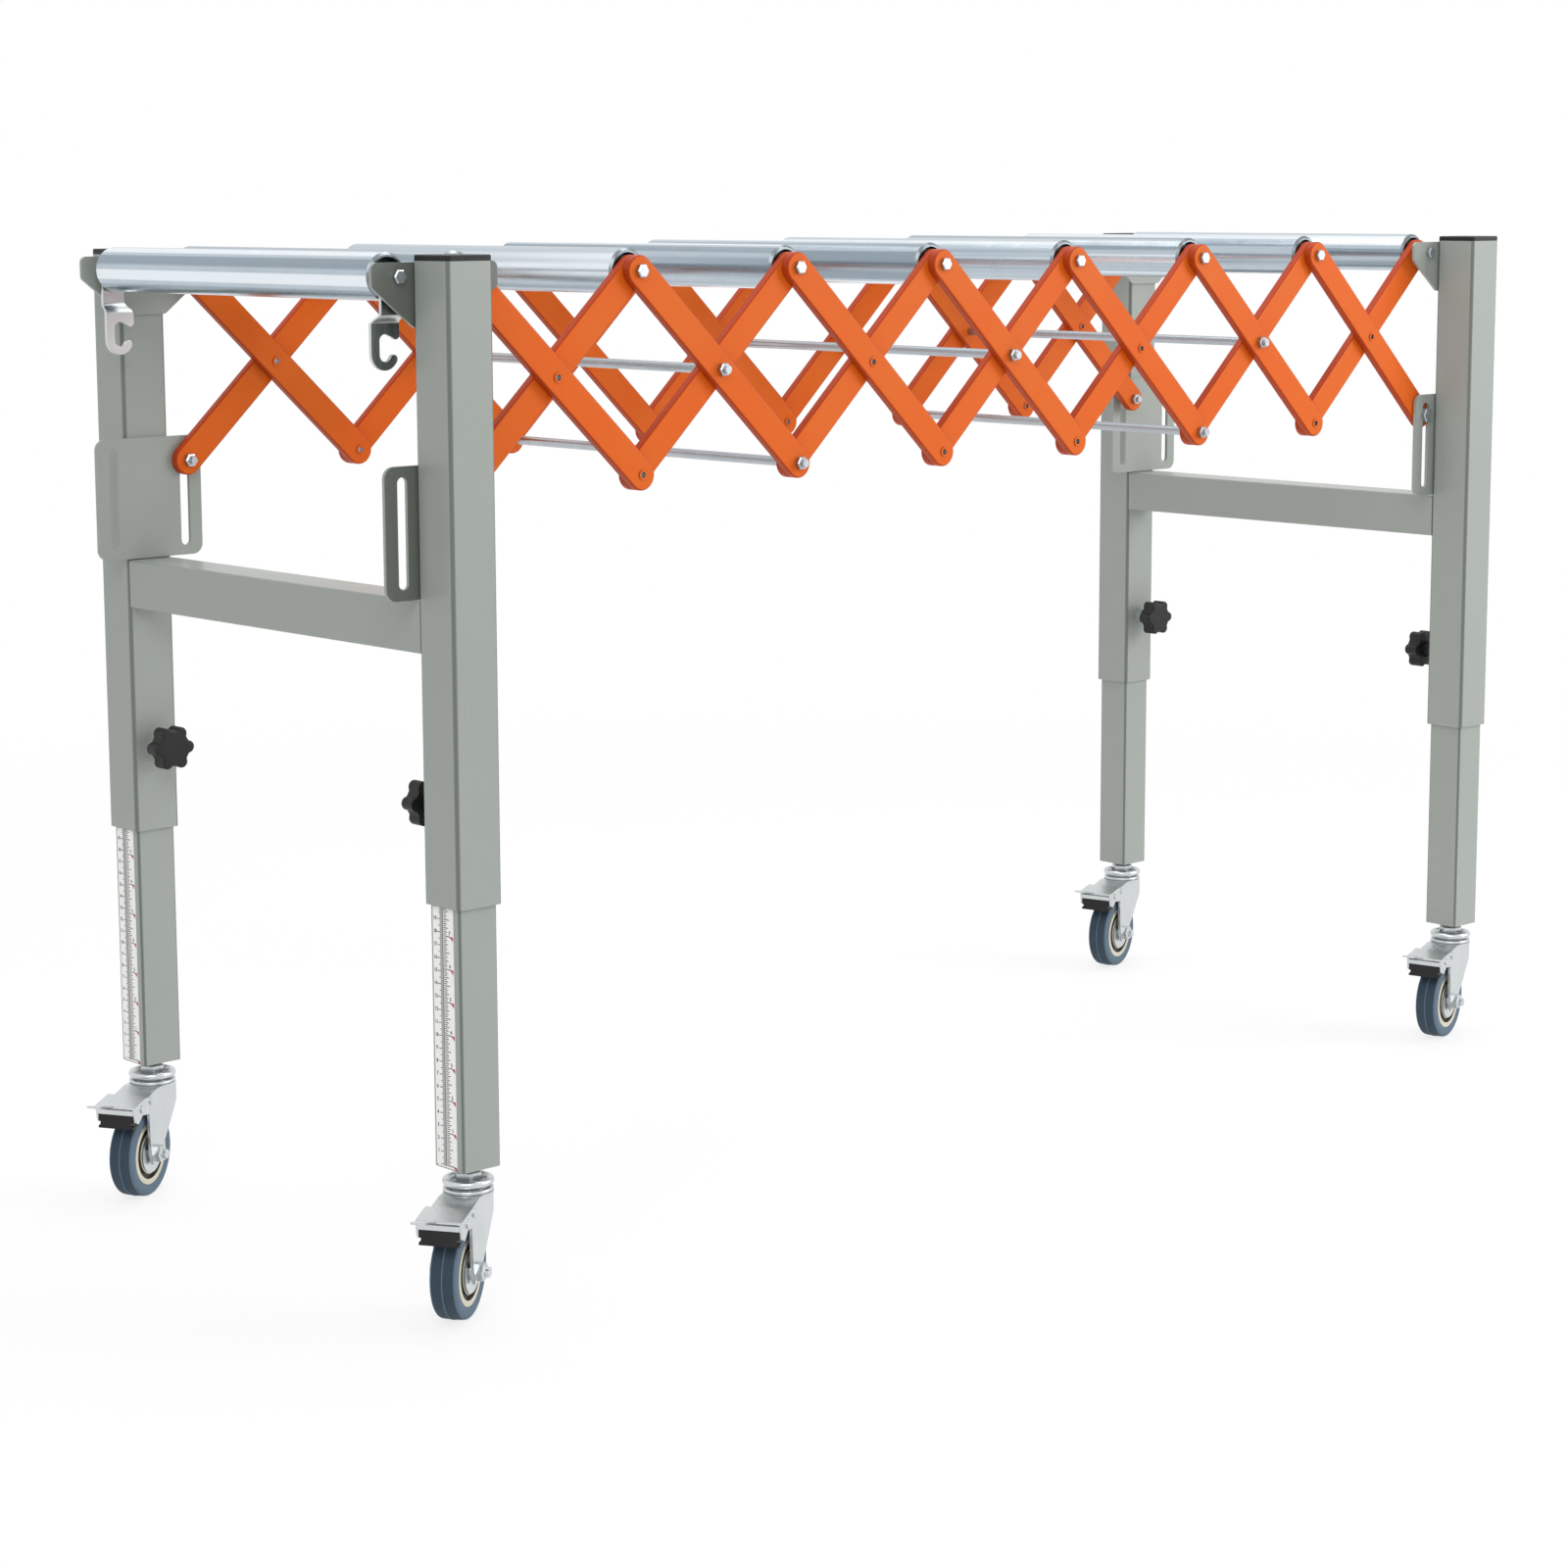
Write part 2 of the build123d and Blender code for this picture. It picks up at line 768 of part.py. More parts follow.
def make_shoe():
    """The black brake shoe that hangs under the pedal, hollowed to the tyre."""
    front_width = 2 * (pedal_inner_half() - pedal_width_gap)
    rear_width = tyre_width + 2 * fork_gap - 2 * running_gap
    front = shoe_front_share * wheel_radius
    step = shoe_step_share * wheel_radius
    back = shoe_back_share * wheel_radius
    foot = shoe_foot_share * crown_top
    top = shoe_top_share * crown_top
    with BuildPart() as shoe:
        with BuildSketch(Plane.XY.offset(foot)):
            with Locations(((front + step) / 2, 0)):
                Rectangle(step - front, front_width)
            with Locations(((step + back) / 2, 0)):
                Rectangle(back - step, rear_width)
        extrude(amount=top - foot)
        with BuildSketch(Plane.XZ):
            with Locations((-caster_trail, axle_height)):
                Circle(wheel_radius + shoe_wheel_gap)
        extrude(amount=front_width, both=True, mode=Mode.SUBTRACT)
        with BuildSketch(Plane.YZ.offset(front - overrun)):
            notch_height = foot + (top - foot) / 3
            with Locations((-front_width / 2, notch_height), (front_width / 2, notch_height)):
                Rectangle(shoe_notch, shoe_notch)
        extrude(amount=step - front + overrun, mode=Mode.SUBTRACT)
    return shoe.part


def make_tyre():
    """The tyre about Y, centred on the origin."""
    half = tyre_width / 2
    with BuildPart() as tyre:
        with BuildSketch(Plane.XZ.offset(-half)):
            Circle(wheel_radius)
            Circle(core_radius, mode=Mode.SUBTRACT)
        extrude(amount=tyre_width)
        fillet(tyre.edges().filter_by(GeomType.CIRCLE).sort_by(SortBy.RADIUS)[-2:], tyre_shoulder)
    return tyre.part


def hub_solids():
    """The wheel's core, its bush and its two zinc discs, about Y."""
    half = core_width / 2
    bush_half = tyre_width / 2 + fork_gap - running_gap
    with BuildPart() as core:
        with BuildSketch(Plane.XZ.offset(-half)):
            Circle(core_radius)
            Circle(hub_bush_radius, mode=Mode.SUBTRACT)
        extrude(amount=core_width)
        for face, way in ((half, -1), (-half, 1)):
            with BuildSketch(Plane.XZ.offset(face)):
                Circle(groove_outer)
                Circle(groove_inner, mode=Mode.SUBTRACT)
            extrude(amount=way * groove_depth, mode=Mode.SUBTRACT)
    bush = ring(axle_radius + fit, hub_bush_radius, -bush_half, bush_half)
    disc = ring(hub_bush_radius, hub_disc_radius, half, half + hub_disc_thick)
    return [
        core.part,
        across(bush, 0, 0, 0),
        across(disc, 0, 0, 0),
        across(disc, 0, 0, 0, toward_back=False),
    ]


def leg_solids():
    """A telescoping leg about Z with its foot plate, caster stem, nut and upper race."""
    plate_side = leg_side - 2 * leg_wall
    with BuildPart() as foot_plate:
        with BuildSketch(Plane.XY.offset(leg_foot)):
            Rectangle(plate_side, plate_side)
            Circle(stem_radius + fit, mode=Mode.SUBTRACT)
        extrude(amount=leg_foot_plate)
        fillet(foot_plate.edges().filter_by(Axis.Z), leg_corner - leg_wall / 2)
    stem_low = crown_foot - running_gap
    with BuildPart() as stem:
        with BuildSketch(Plane.XY.offset(stem_low - stem_head)):
            Circle(stem_head_radius)
        extrude(amount=stem_head)
        with BuildSketch(Plane.XY.offset(stem_low)):
            Circle(stem_radius)
        extrude(amount=leg_foot + leg_foot_plate + stem_bury - stem_low)
    dish = upper_race_top - upper_race_dish
    rim_radius = upper_race / 2
    rim_middle = upper_race_radius - rim_radius
    bore = stem_radius + fit
    with BuildPart() as race:
        with BuildSketch(Plane.XZ):
            with Locations((rim_middle, upper_race_foot + rim_radius)):
                Circle(rim_radius)
            with Locations(((bore + rim_middle) / 2, (upper_race_foot + dish) / 2)):
                Rectangle(rim_middle - bore, dish - upper_race_foot)
        revolve(axis=Axis.Z)
        with BuildSketch(Plane.XY.offset(lower_race_top + running_gap)):
            Circle(upper_race_hub_radius)
            Circle(bore, mode=Mode.SUBTRACT)
        extrude(amount=race_gap)
    return [
        square_tube(leg_side, leg_wall, leg_corner, leg_length).moved(Location((0, 0, leg_foot))),
        foot_plate.part,
        stem.part,
        race.part,
        ring(stem_radius + fit, stem_washer_radius, dish, stem_nut_foot),
        hexagon(stem_nut_across, stem_nut_foot, stem_nut_foot + stem_nut, hole=stem_radius + fit),
    ]


pieces = {}


def keep(name, solids, place=Location()):
    """Keep a group of separate solids under one name, set down at a place."""
    pieces[name] = Compound([solid.moved(place) for solid in solids])


# The two end frames are the same part, the right one turned round
front_post = make_post().moved(Location((0, -post_gauge / 2, post_foot)))
boss = across(ring(stud_radius + fit, boss_radius, 0, boss_height), 0, -post_inner, knob_height)
front_plates = [make_bracket(), make_slot_plate()]
front_cap = make_cap().moved(Location((0, -post_gauge / 2, 0)))
half_turn = Location((0, 0, 0), (0, 0, 180))
knob_y = -post_inner + boss_height + running_gap
knob_parts = [across(make_knob(), 0, knob_y, knob_height), across(make_stud(), 0, knob_y, knob_height)]
leg_parts = [solid.moved(Location((0, -post_gauge / 2, 0))) for solid in leg_solids()]


def both_ends(solids):
    """The solids of the front post and the same solids turned round for the back post."""
    return solids + [solid.moved(half_turn) for solid in solids]


for side, frame_x in (("left", left_x), ("right", right_x)):
    frame_place = Location((frame_x, 0, 0))
    keep(f"{side}_end_frame", both_ends([front_post, boss]) + [make_crossbar()], frame_place)
    keep(f"{side}_frame_plates", both_ends(front_plates), frame_place)
    keep(f"{side}_post_caps", both_ends([front_cap]), frame_place)
    for end in ("front", "back"):
        corner = frame_place if end == "front" else frame_place * half_turn
        keep(f"{side}_{end}_knob", knob_parts, corner)
        keep(f"{side}_{end}_leg", leg_parts, corner)

# Roller axles: the free end roller, the first and last rollers of the scissor
free_roller_x = left_x - end_offset
free_axle = bolted_axle(free_roller_x, -plate_face, plate_face, -post_inner, post_inner)
first_axle = bolted_axle(top_x(1), spindle_front, spindle_back, -post_inner, post_inner)
last_axle = bolted_axle(top_x(cell_count + 1), spindle_front, spindle_back, -post_inner, post_inner)
keep("left_roller_axles", free_axle + first_axle)
keep("right_roller_axle", last_axle)

# Rollers
keep("roller_1", roller_solids(free_roller_length), Location((free_roller_x, 0, top_pivot_height)))
roller = roller_solids(roller_length)
for index in range(1, cell_count + 2):
    keep(f"roller_{index + 1}", roller, Location((top_x(index), 0, top_pivot_height)))

# Scissor arms: a down arm and an up arm in each cell, each with a bar on both sides of the table
bar = make_bar()
rivet = make_rivet()
nut = make_nut()
tie_rod = make_tie_rod()


def pivot_solids(x, z, has_rod):
    """What pins two arms at one pivot: a tie rod with its nuts, or a hollow rivet each side."""
    if has_rod:
        return [
            tie_rod.moved(Location((x, 0, z))),
            across(nut, x, down_front_y, z, toward_back=False),
            across(nut, x, up_back_y + bar_wall + running_gap, z),
        ]
    return [across(rivet, x, down_front_y, z), across(rivet, x, down_back_y, z)]


def slot_pins(x, front_web, back_web):
    """The shoulder bolts and nuts that run in the slots of one end frame."""
    z = low_pivot_height
    head = post_inner + running_gap
    shank = bar_wall + nut_height + thread_show
    front_bolt = make_shoulder_bolt(head + front_web, shank)
    back_bolt = make_shoulder_bolt(head - back_web - bar_wall, shank)
    return [
        across(front_bolt, x, -head, z),
        across(nut, x, front_web + bar_wall, z),
        across(back_bolt, x, head, z, toward_back=False),
        across(nut, x, back_web, z, toward_back=False),
    ]


for cell in range(1, cell_count + 1):
    x = top_x(cell)
    middle_x = x + roller_pitch / 2
    low_x = x + roller_pitch
    down = [
        bar.moved(Location((middle_x, down_front_y, mid_pivot_height), (0, rest_angle, 0))),
        bar.moved(Location((middle_x, down_back_y, mid_pivot_height), (0, rest_angle, 0))),
    ]
    up = [
        bar.moved(Location((middle_x, up_front_y, mid_pivot_height), (0, -rest_angle, 0))),
        bar.moved(Location((middle_x, up_back_y, mid_pivot_height), (0, -rest_angle, 0))),
    ]
    down += pivot_solids(middle_x, mid_pivot_height, cell % middle_rod_every_count == 0)
    if cell > 1:
        back_seat = up_back_y + bar_wall + running_gap
        down += bolted_axle(x, spindle_front, spindle_back, down_front_y, back_seat)
    else:
        up += slot_pins(x, up_front_y, up_back_y)
    if cell < cell_count:
        down += pivot_solids(low_x, low_pivot_height, (cell + 1) % low_rod_every_count == 0)
    else:
        down += slot_pins(low_x, down_front_y, down_back_y)
    keep(f"down_arm_{cell}", down)
    keep(f"up_arm_{cell}", up)

# Coupling hooks on the free roller's axle
hook = make_hook()
hook_front = hook.moved(Location((free_roller_x, -hook_face, top_pivot_height)))
hook_back = mirror(hook_front, about=Plane.XZ)
keep("front_hook", [hook_front])
keep("back_hook", [hook_back])

# Casters
fork_parts = fork_solids()
pedal_parts = [make_pedal(), make_leaf(), make_shoe()]
wheel_place = Location((-caster_trail, 0, axle_height))
tyre_parts = [make_tyre().moved(wheel_place)]
hub_parts = [solid.moved(wheel_place) for solid in hub_solids()]
corner_points = {
    "left_front": (left_x, -post_gauge / 2),
    "left_back": (left_x, post_gauge / 2),
    "right_front": (right_x, -post_gauge / 2),
    "right_back": (right_x, post_gauge / 2),
}
for name, (x, y) in corner_points.items():
    swung = Location((x, y, 0), (0, 0, caster_swing_angles[name]))
    keep(f"{name}_fork", fork_parts, swung)
    keep(f"{name}_pedal", pedal_parts, swung)
    keep(f"{name}_tyre", tyre_parts, swung)
    keep(f"{name}_hub", hub_parts, swung)

# The origin lies on the floor under the middle of the whole conveyor
boxes = [piece.bounding_box() for piece in pieces.values()]
shift_x = -(min(box.min.X for box in boxes) + max(box.max.X for box in boxes)) / 2
shift_y = -(min(box.min.Y for box in boxes) + max(box.max.Y for box in boxes)) / 2
to_origin = Location((shift_x, shift_y, 0))

os.makedirs("parts", exist_ok=True)
for name, piece in pieces.items():
    placed = piece.moved(to_origin)
    placed.label = name
    export_step(placed, f"parts/{name}.step")
print(len(pieces), "pieces, shift", round(shift_x, 3), round(shift_y, 3))
print("fold range", round(fold_open, 2), round(fold_closed, 2), "rest angle", round(rest_angle, 2))
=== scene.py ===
import json
import math

import bmesh
import bpy
import numpy as np
from mathutils import Matrix, Vector

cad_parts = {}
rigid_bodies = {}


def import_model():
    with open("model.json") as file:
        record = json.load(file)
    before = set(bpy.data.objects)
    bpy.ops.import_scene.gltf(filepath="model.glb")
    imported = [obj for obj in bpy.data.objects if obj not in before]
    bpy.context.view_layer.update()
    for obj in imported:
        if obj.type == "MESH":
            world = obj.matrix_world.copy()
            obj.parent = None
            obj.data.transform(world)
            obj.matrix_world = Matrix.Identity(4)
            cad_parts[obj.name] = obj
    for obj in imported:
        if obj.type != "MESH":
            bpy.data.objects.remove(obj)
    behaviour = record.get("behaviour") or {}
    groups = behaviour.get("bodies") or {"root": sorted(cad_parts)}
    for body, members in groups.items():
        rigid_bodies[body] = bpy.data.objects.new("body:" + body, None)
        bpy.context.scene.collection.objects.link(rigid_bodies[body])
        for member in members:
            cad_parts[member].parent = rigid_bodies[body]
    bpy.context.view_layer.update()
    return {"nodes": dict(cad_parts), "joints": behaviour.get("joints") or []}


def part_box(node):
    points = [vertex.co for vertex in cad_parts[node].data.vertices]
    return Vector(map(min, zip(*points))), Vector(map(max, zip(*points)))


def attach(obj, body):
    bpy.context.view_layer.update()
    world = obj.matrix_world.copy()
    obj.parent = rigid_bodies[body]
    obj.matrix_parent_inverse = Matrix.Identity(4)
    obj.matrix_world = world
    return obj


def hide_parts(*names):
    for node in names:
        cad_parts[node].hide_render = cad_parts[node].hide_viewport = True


# The start-up file's own objects would count as pieces of the conveyor
for leftover in list(bpy.data.objects):
    bpy.data.objects.remove(leftover)

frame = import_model()
nodes = frame["nodes"]
jointPlaces = {joint["name"]: Vector(joint["pos_m"]) for joint in frame["joints"] if "pos_m" in joint}
cornerNames = ["left_front", "left_back", "right_front", "right_back"]
casterSwing = {"left_front": 33, "left_back": 30, "right_front": 14, "right_back": 16}
rollerCount = 9
cellCount = 7
millimetre = 1e-3
toMetres = Matrix.Scale(millimetre, 4)
print("stage: frame loaded,", len(nodes), "nodes")


class Wire:
    # A node's output that can be reckoned with
    def __init__(self, sheet, socket):
        self.sheet = sheet
        self.socket = socket

    def sum(self, operation, first, second):
        return self.sheet.add("ShaderNodeMath", {"operation": operation}, {0: first, 1: second})

    def __add__(self, other):
        return self.sum("ADD", self, other)

    def __sub__(self, other):
        return self.sum("SUBTRACT", self, other)

    def __rsub__(self, other):
        return self.sum("SUBTRACT", other, self)

    def __mul__(self, other):
        return self.sum("MULTIPLY", self, other)

    def __mod__(self, other):
        return self.sum("MODULO", self, other)

    def __lt__(self, other):
        return self.sum("LESS_THAN", self, other)

    def __gt__(self, other):
        return self.sum("GREATER_THAN", self, other)

    def __abs__(self):
        return self.sum("ABSOLUTE", self, 0.0)

    __radd__ = __add__
    __rmul__ = __mul__


class NodeSheet:
    # One node tree, of a material or of geometry
    def __init__(self, tree):
        self.tree = tree

    def feed(self, socket, value):
        if isinstance(value, Wire):
            self.tree.links.new(value.socket, socket)
        elif isinstance(value, tuple) and len(value) == 3 and socket.type == "RGBA":
            socket.default_value = (*value, 1.0)
        else:
            socket.default_value = value

    def add(self, kind, settings, values, output=0):
        node = self.tree.nodes.new(kind)
        for key, value in settings.items():
            if key == "stops":
                ramp = node.color_ramp.elements
                while len(ramp) < len(value):
                    ramp.new(1.0)
                for stop, (place, shade) in zip(ramp, value):
                    stop.position = place
                    stop.color = (shade, shade, shade, 1.0)
            else:
                setattr(node, key, value)
        for key, value in values.items():
            self.feed(node.inputs[key], value)
        return Wire(self, node.outputs[output])


class Finish(NodeSheet):
    # A material with the few patterns that the finishes below share
    def __init__(self, name):
        self.material = bpy.data.materials.new(name)
        self.material.use_nodes = True
        super().__init__(self.material.node_tree)
        self.shader = self.tree.nodes["Principled BSDF"]
        self.place = self.add("ShaderNodeTexCoord", {}, {}, "Object")

    def noise(self, scale, detail=2.0, roughness=0.5, stretch=None):
        where = self.place
        if stretch:
            where = self.add("ShaderNodeVectorMath", {"operation": "MULTIPLY"}, {0: where, 1: stretch})
        values = {"Vector": where, "Scale": scale, "Detail": detail, "Roughness": roughness}
        return self.add("ShaderNodeTexNoise", {}, values)

    def parts(self, vector):
        split = self.add("ShaderNodeSeparateXYZ", {}, {0: vector}).socket.node
        return [Wire(self, output) for output in split.outputs]

    def ramp(self, value, *stops):
        return self.add("ShaderNodeValToRGB", {"stops": stops}, {0: value})

    def mix(self, share, first, second):
        return self.add("ShaderNodeMix", {"data_type": "RGBA"}, {0: share, 6: first, 7: second}, 2)

    def bump(self, height, strength, distance):
        values = {"Height": height, "Strength": strength, "Distance": distance}
        return self.add("ShaderNodeBump", {}, values)

    def set(self, **values):
        # Feeds the shader's sockets, whose names have spaces for the underscores here
        for key, value in values.items():
            self.feed(self.shader.inputs[key.replace("_", " ")], value)
        return self.material


paintSizes = {
    "colour": (0.304, 0.332, 0.306),
    "shade": (0.245, 0.268, 0.246),
    "pale": (0.345, 0.372, 0.346),
    "plateShadeColour": (0.115, 0.128, 0.113),
    "plateShadePale": (0.150, 0.165, 0.148),
    "cloudScale": 5.0,
    "peelScale": 420.0,
    "cornerShade": 0.75,
}


def framePaint(name, main, pale):
    # Sage powder coat: slow clouds of tone, orange peel, fine scuffs along the tubes, and painted shade
    # that darkens the bent corners
    coat = Finish(name)
    cloud = coat.ramp(coat.noise(paintSizes["cloudScale"], 4.0), (0.3, 0.0), (0.72, 1.0))
    speck = coat.ramp(coat.noise(1500.0, 1.0), (0.66, 0.0), (0.74, 1.0))
    scuff = coat.ramp(coat.noise(60.0, 5.0, 0.7, stretch=(6.0, 6.0, 0.12)), (0.67, 0.0), (0.73, 1.0))
    colour = coat.mix(cloud * 0.5, main, pale)
    colour = coat.mix(speck * 0.25, colour, paintSizes["shade"])
    colour = coat.mix(scuff * 0.22, colour, (0.5, 0.52, 0.5))
    # Painted shade: faces that turn between two sides, at the bent corners, take a dark tone
    turnAlong, turnAcross, _ = coat.parts(coat.add("ShaderNodeTexCoord", {}, {}, "Normal"))
    corner = coat.ramp(abs(turnAlong * turnAcross), (0.14, 0.0), (0.38, 1.0))
    colour = coat.mix(corner * paintSizes["cornerShade"], colour, (0.085, 0.098, 0.086))
    peel = coat.noise(paintSizes["peelScale"], 2.0)
    return coat.set(
        Base_Color=colour,
        Roughness=0.36 + 0.12 * cloud + 0.14 * scuff,
        Normal=coat.bump(peel, 0.08, 0.0004),
        Coat_Weight=0.22,
        Coat_Roughness=0.16,
    )


def lipPaint():
    # The same orange, darkened as painted shade on the narrow walls round a rivet's lip
    coat = Finish("lipPaint")
    grain = coat.noise(900.0, 2.0)
    return coat.set(
        Base_Color=coat.mix(grain, (0.22, 0.022, 0.003), (0.34, 0.038, 0.004)),
        Roughness=0.42 + 0.12 * grain,
        Specular_IOR_Level=0.16,
    )


def orangePaint():
    # Gloss orange on the pressed bars, a little thinner and darker in places, with painted shade on the
    # rounded edges and flanks
    coat = Finish("orangePaint")
    cloud = coat.ramp(coat.noise(14.0, 3.0), (0.3, 0.0), (0.7, 1.0))
    grain = coat.noise(900.0, 2.0)
    chip = coat.ramp(coat.noise(140.0, 4.0, 0.65), (0.72, 0.0), (0.76, 1.0))
    colour = coat.mix(cloud * 0.6, (0.71, 0.112, 0.005), (0.69, 0.142, 0.013))
    colour = coat.mix(chip * 0.3, colour, (0.50, 0.06, 0.01))
    # Painted shade: the rounded edges and flanks are darker and redder, those facing up under the rollers
    # most of all
    _, across, upward = coat.parts(coat.add("ShaderNodeTexCoord", {}, {}, "Normal"))
    flankShade = coat.ramp(abs(across), (0.80, 1.0), (0.99, 0.0))
    colour = coat.mix(flankShade * 0.85, colour, (0.36, 0.035, 0.004))
    colour = coat.mix((upward > 0.3) * 0.6, colour, (0.42, 0.040, 0.004))
    return coat.set(
        Base_Color=colour,
        Roughness=0.36 + 0.12 * grain,
        Normal=coat.bump(grain, 0.10, 0.0002),
        Coat_Weight=0.03,
        Coat_Roughness=0.12,
        Specular_IOR_Level=0.16,
    )


def brightZinc(name, colour, dull, stretch, lineScale, roughness, bump=0.05, reflectionBand=0.0):
    # Zinc plate: faint crystal clouds, marks drawn out along one way, and broad light and dark bands
    # beside them: drawn-tube streaks and painted reflection
    plate = Finish(name)
    cloud = plate.ramp(plate.noise(40.0, 4.0, 0.6), (0.3, 0.0), (0.7, 1.0))
    lines = plate.noise(lineScale, 3.0, 0.6, stretch=stretch)
    crystal = plate.add("ShaderNodeTexVoronoi", {}, {"Vector": plate.place, "Scale": 520.0}, "Distance")
    tone = plate.mix(cloud * 0.6, colour, dull)
    tone = plate.mix(plate.ramp(lines, (0.35, 0.0), (0.65, 1.0)) * 0.12, tone, (0.80, 0.85, 0.89))
    # Painted reflection: broad dark and near-white bands along the tube, shaped like drawn-tube streaks
    if reflectionBand:
        streak = plate.noise(85.0, 0.0, 0.4, stretch=(1.0, 0.004, 1.0))
        tone = plate.mix(plate.ramp(streak, (0.40, 1.0), (0.47, 0.0)) * reflectionBand, tone, (0.24, 0.30, 0.35))
        tone = plate.mix(plate.ramp(streak, (0.58, 0.0), (0.64, 1.0)) * reflectionBand, tone, (0.86, 0.91, 0.95))
    return plate.set(
        Base_Color=tone,
        Metallic=1.0,
        Roughness=roughness + 0.10 * cloud + 0.08 * lines,
        Normal=plate.bump(lines + crystal * 0.4, bump, 0.0002),
    )


def plainPlastic(name, colour, pale, grainScale, roughness, bump, shine=0.5):
    # Moulded plastic: a fine spark-eroded grain and slightly paler rubbed patches
    moulding = Finish(name)
    grain = moulding.noise(grainScale, 2.0, 0.6)
    rubbed = moulding.ramp(moulding.noise(35.0, 4.0, 0.6), (0.45, 0.0), (0.8, 1.0))
    return moulding.set(
        Base_Color=moulding.mix(rubbed * 0.6, colour, pale),
        Roughness=roughness + 0.12 * grain,
        Normal=moulding.bump(grain, bump, 0.0002),
        Specular_IOR_Level=shine,
    )


def tyreRubber():
    # Blue-grey rubber; the tread's UVs run round the tyre and across it
    rubber = Finish("tyreRubber")
    across, width, _ = rubber.parts(rubber.add("ShaderNodeTexCoord", {}, {}, "UV"))
    cloud = rubber.ramp(rubber.noise(60.0, 4.0, 0.6), (0.3, 0.0), (0.72, 1.0))
    hatchRow = (across * 12.0) % 1.0 > 0.5
    lean = (across * 260.0 + width * 26.0) % 1.0
    leanBack = (across * 260.0 - width * 26.0 + 26.0) % 1.0
    hatch = abs(hatchRow * lean + (1.0 - hatchRow) * leanBack - 0.5) * 2.0
    aside = abs(width - 0.5)
    onTread = (aside < 0.40) * 1.0
    onLine = (aside < 0.024) * 1.0
    colour = rubber.mix(cloud * 0.5, (0.036, 0.062, 0.090), (0.056, 0.090, 0.124))
    colour = rubber.mix((1.0 - onTread) * 0.8, colour, (0.125, 0.180, 0.235))
    colour = rubber.mix(hatch * onTread * 0.4, colour, (0.020, 0.034, 0.050))
    colour = rubber.mix(onLine * 0.7, colour, (0.13, 0.20, 0.25))
    return rubber.set(
        Base_Color=colour,
        Roughness=0.52 + 0.14 * cloud,
        Normal=rubber.bump(hatch * onTread, 0.3, 0.0003),
        Specular_IOR_Level=0.2,
    )


def printedFilm(name, colour, dirt, share):
    # The scale's printed film: a little dust and finger wear
    film = Finish(name)
    cloud = film.ramp(film.noise(70.0, 5.0, 0.65), (0.42, 0.0), (0.8, 1.0))
    streak = film.ramp(film.noise(50.0, 4.0, 0.6, stretch=(5.0, 5.0, 0.2)), (0.6, 0.0), (0.75, 1.0))
    return film.set(
        Base_Color=film.mix(cloud * share + streak * share, colour, dirt),
        Roughness=0.34 + 0.16 * cloud,
        Normal=film.bump(cloud, 0.03, 0.0001),
    )


paint = framePaint("framePaint", paintSizes["colour"], paintSizes["pale"])
# Painted shade: the frame's own paint, darker, for brackets that stand in shade
platePaint = framePaint("platePaint", paintSizes["plateShadeColour"], paintSizes["plateShadePale"])
orange = orangePaint()
lipShadeOrange = lipPaint()
rollerZinc = brightZinc(
    "rollerZinc", (0.47, 0.54, 0.60), (0.42, 0.49, 0.55), stretch=(1.0, 0.006, 1.0), lineScale=500.0,
    roughness=0.15, bump=0.02, reflectionBand=0.8,
)
zinc = brightZinc(
    "platedZinc", (0.44, 0.47, 0.50), (0.35, 0.38, 0.41), stretch=(1.0, 0.02, 1.0), lineScale=320.0,
    roughness=0.2, bump=0.008,
)
rimZinc = brightZinc(
    "rimZinc", (0.20, 0.23, 0.25), (0.12, 0.14, 0.16), stretch=(1.0, 1.0, 1.0), lineScale=260.0,
    roughness=0.24,
)
pressedZinc = brightZinc(
    "pressedZinc", (0.61, 0.635, 0.64), (0.53, 0.56, 0.575), stretch=(1.0, 1.0, 0.1), lineScale=180.0,
    roughness=0.21, bump=0.015,
)
# Painted shade: a dark zinc for the front hook's flat faces
shadeZinc = brightZinc(
    "shadeZinc", (0.17, 0.195, 0.19), (0.12, 0.14, 0.135), stretch=(1.0, 1.0, 0.1), lineScale=180.0,
    roughness=0.3,
)
black = plainPlastic(
    "blackPlastic", (0.009, 0.009, 0.0095), (0.022, 0.022, 0.023), grainScale=1300.0, roughness=0.38,
    bump=0.25, shine=0.3,
)
sealRubber = plainPlastic(
    "sealRubber", (0.010, 0.016, 0.020), (0.022, 0.032, 0.037), grainScale=900.0, roughness=0.5,
    bump=0.2, shine=0.3,
)
cream = plainPlastic(
    "creamPlastic", (0.60, 0.56, 0.44), (0.70, 0.67, 0.56), grainScale=700.0, roughness=0.36, bump=0.08,
)
# Painted shade: a dark tone for the groove of the wheel's cream core
grooveShadePaint = plainPlastic(
    "grooveShade", (0.075, 0.07, 0.055), (0.12, 0.11, 0.09), grainScale=700.0, roughness=0.55, bump=0.08,
)
rubber = tyreRubber()
filmWhite = printedFilm("filmWhite", (0.93, 0.93, 0.92), (0.68, 0.68, 0.66), share=0.12)
filmBlack = printedFilm("filmBlack", (0.010, 0.010, 0.011), (0.06, 0.06, 0.06), share=0.15)
filmGrey = printedFilm("filmGrey", (0.38, 0.38, 0.35), (0.50, 0.50, 0.48), share=0.4)
filmRed = printedFilm("filmRed", (0.44, 0.025, 0.02), (0.6, 0.12, 0.10), share=0.25)
print("stage: finishes made")


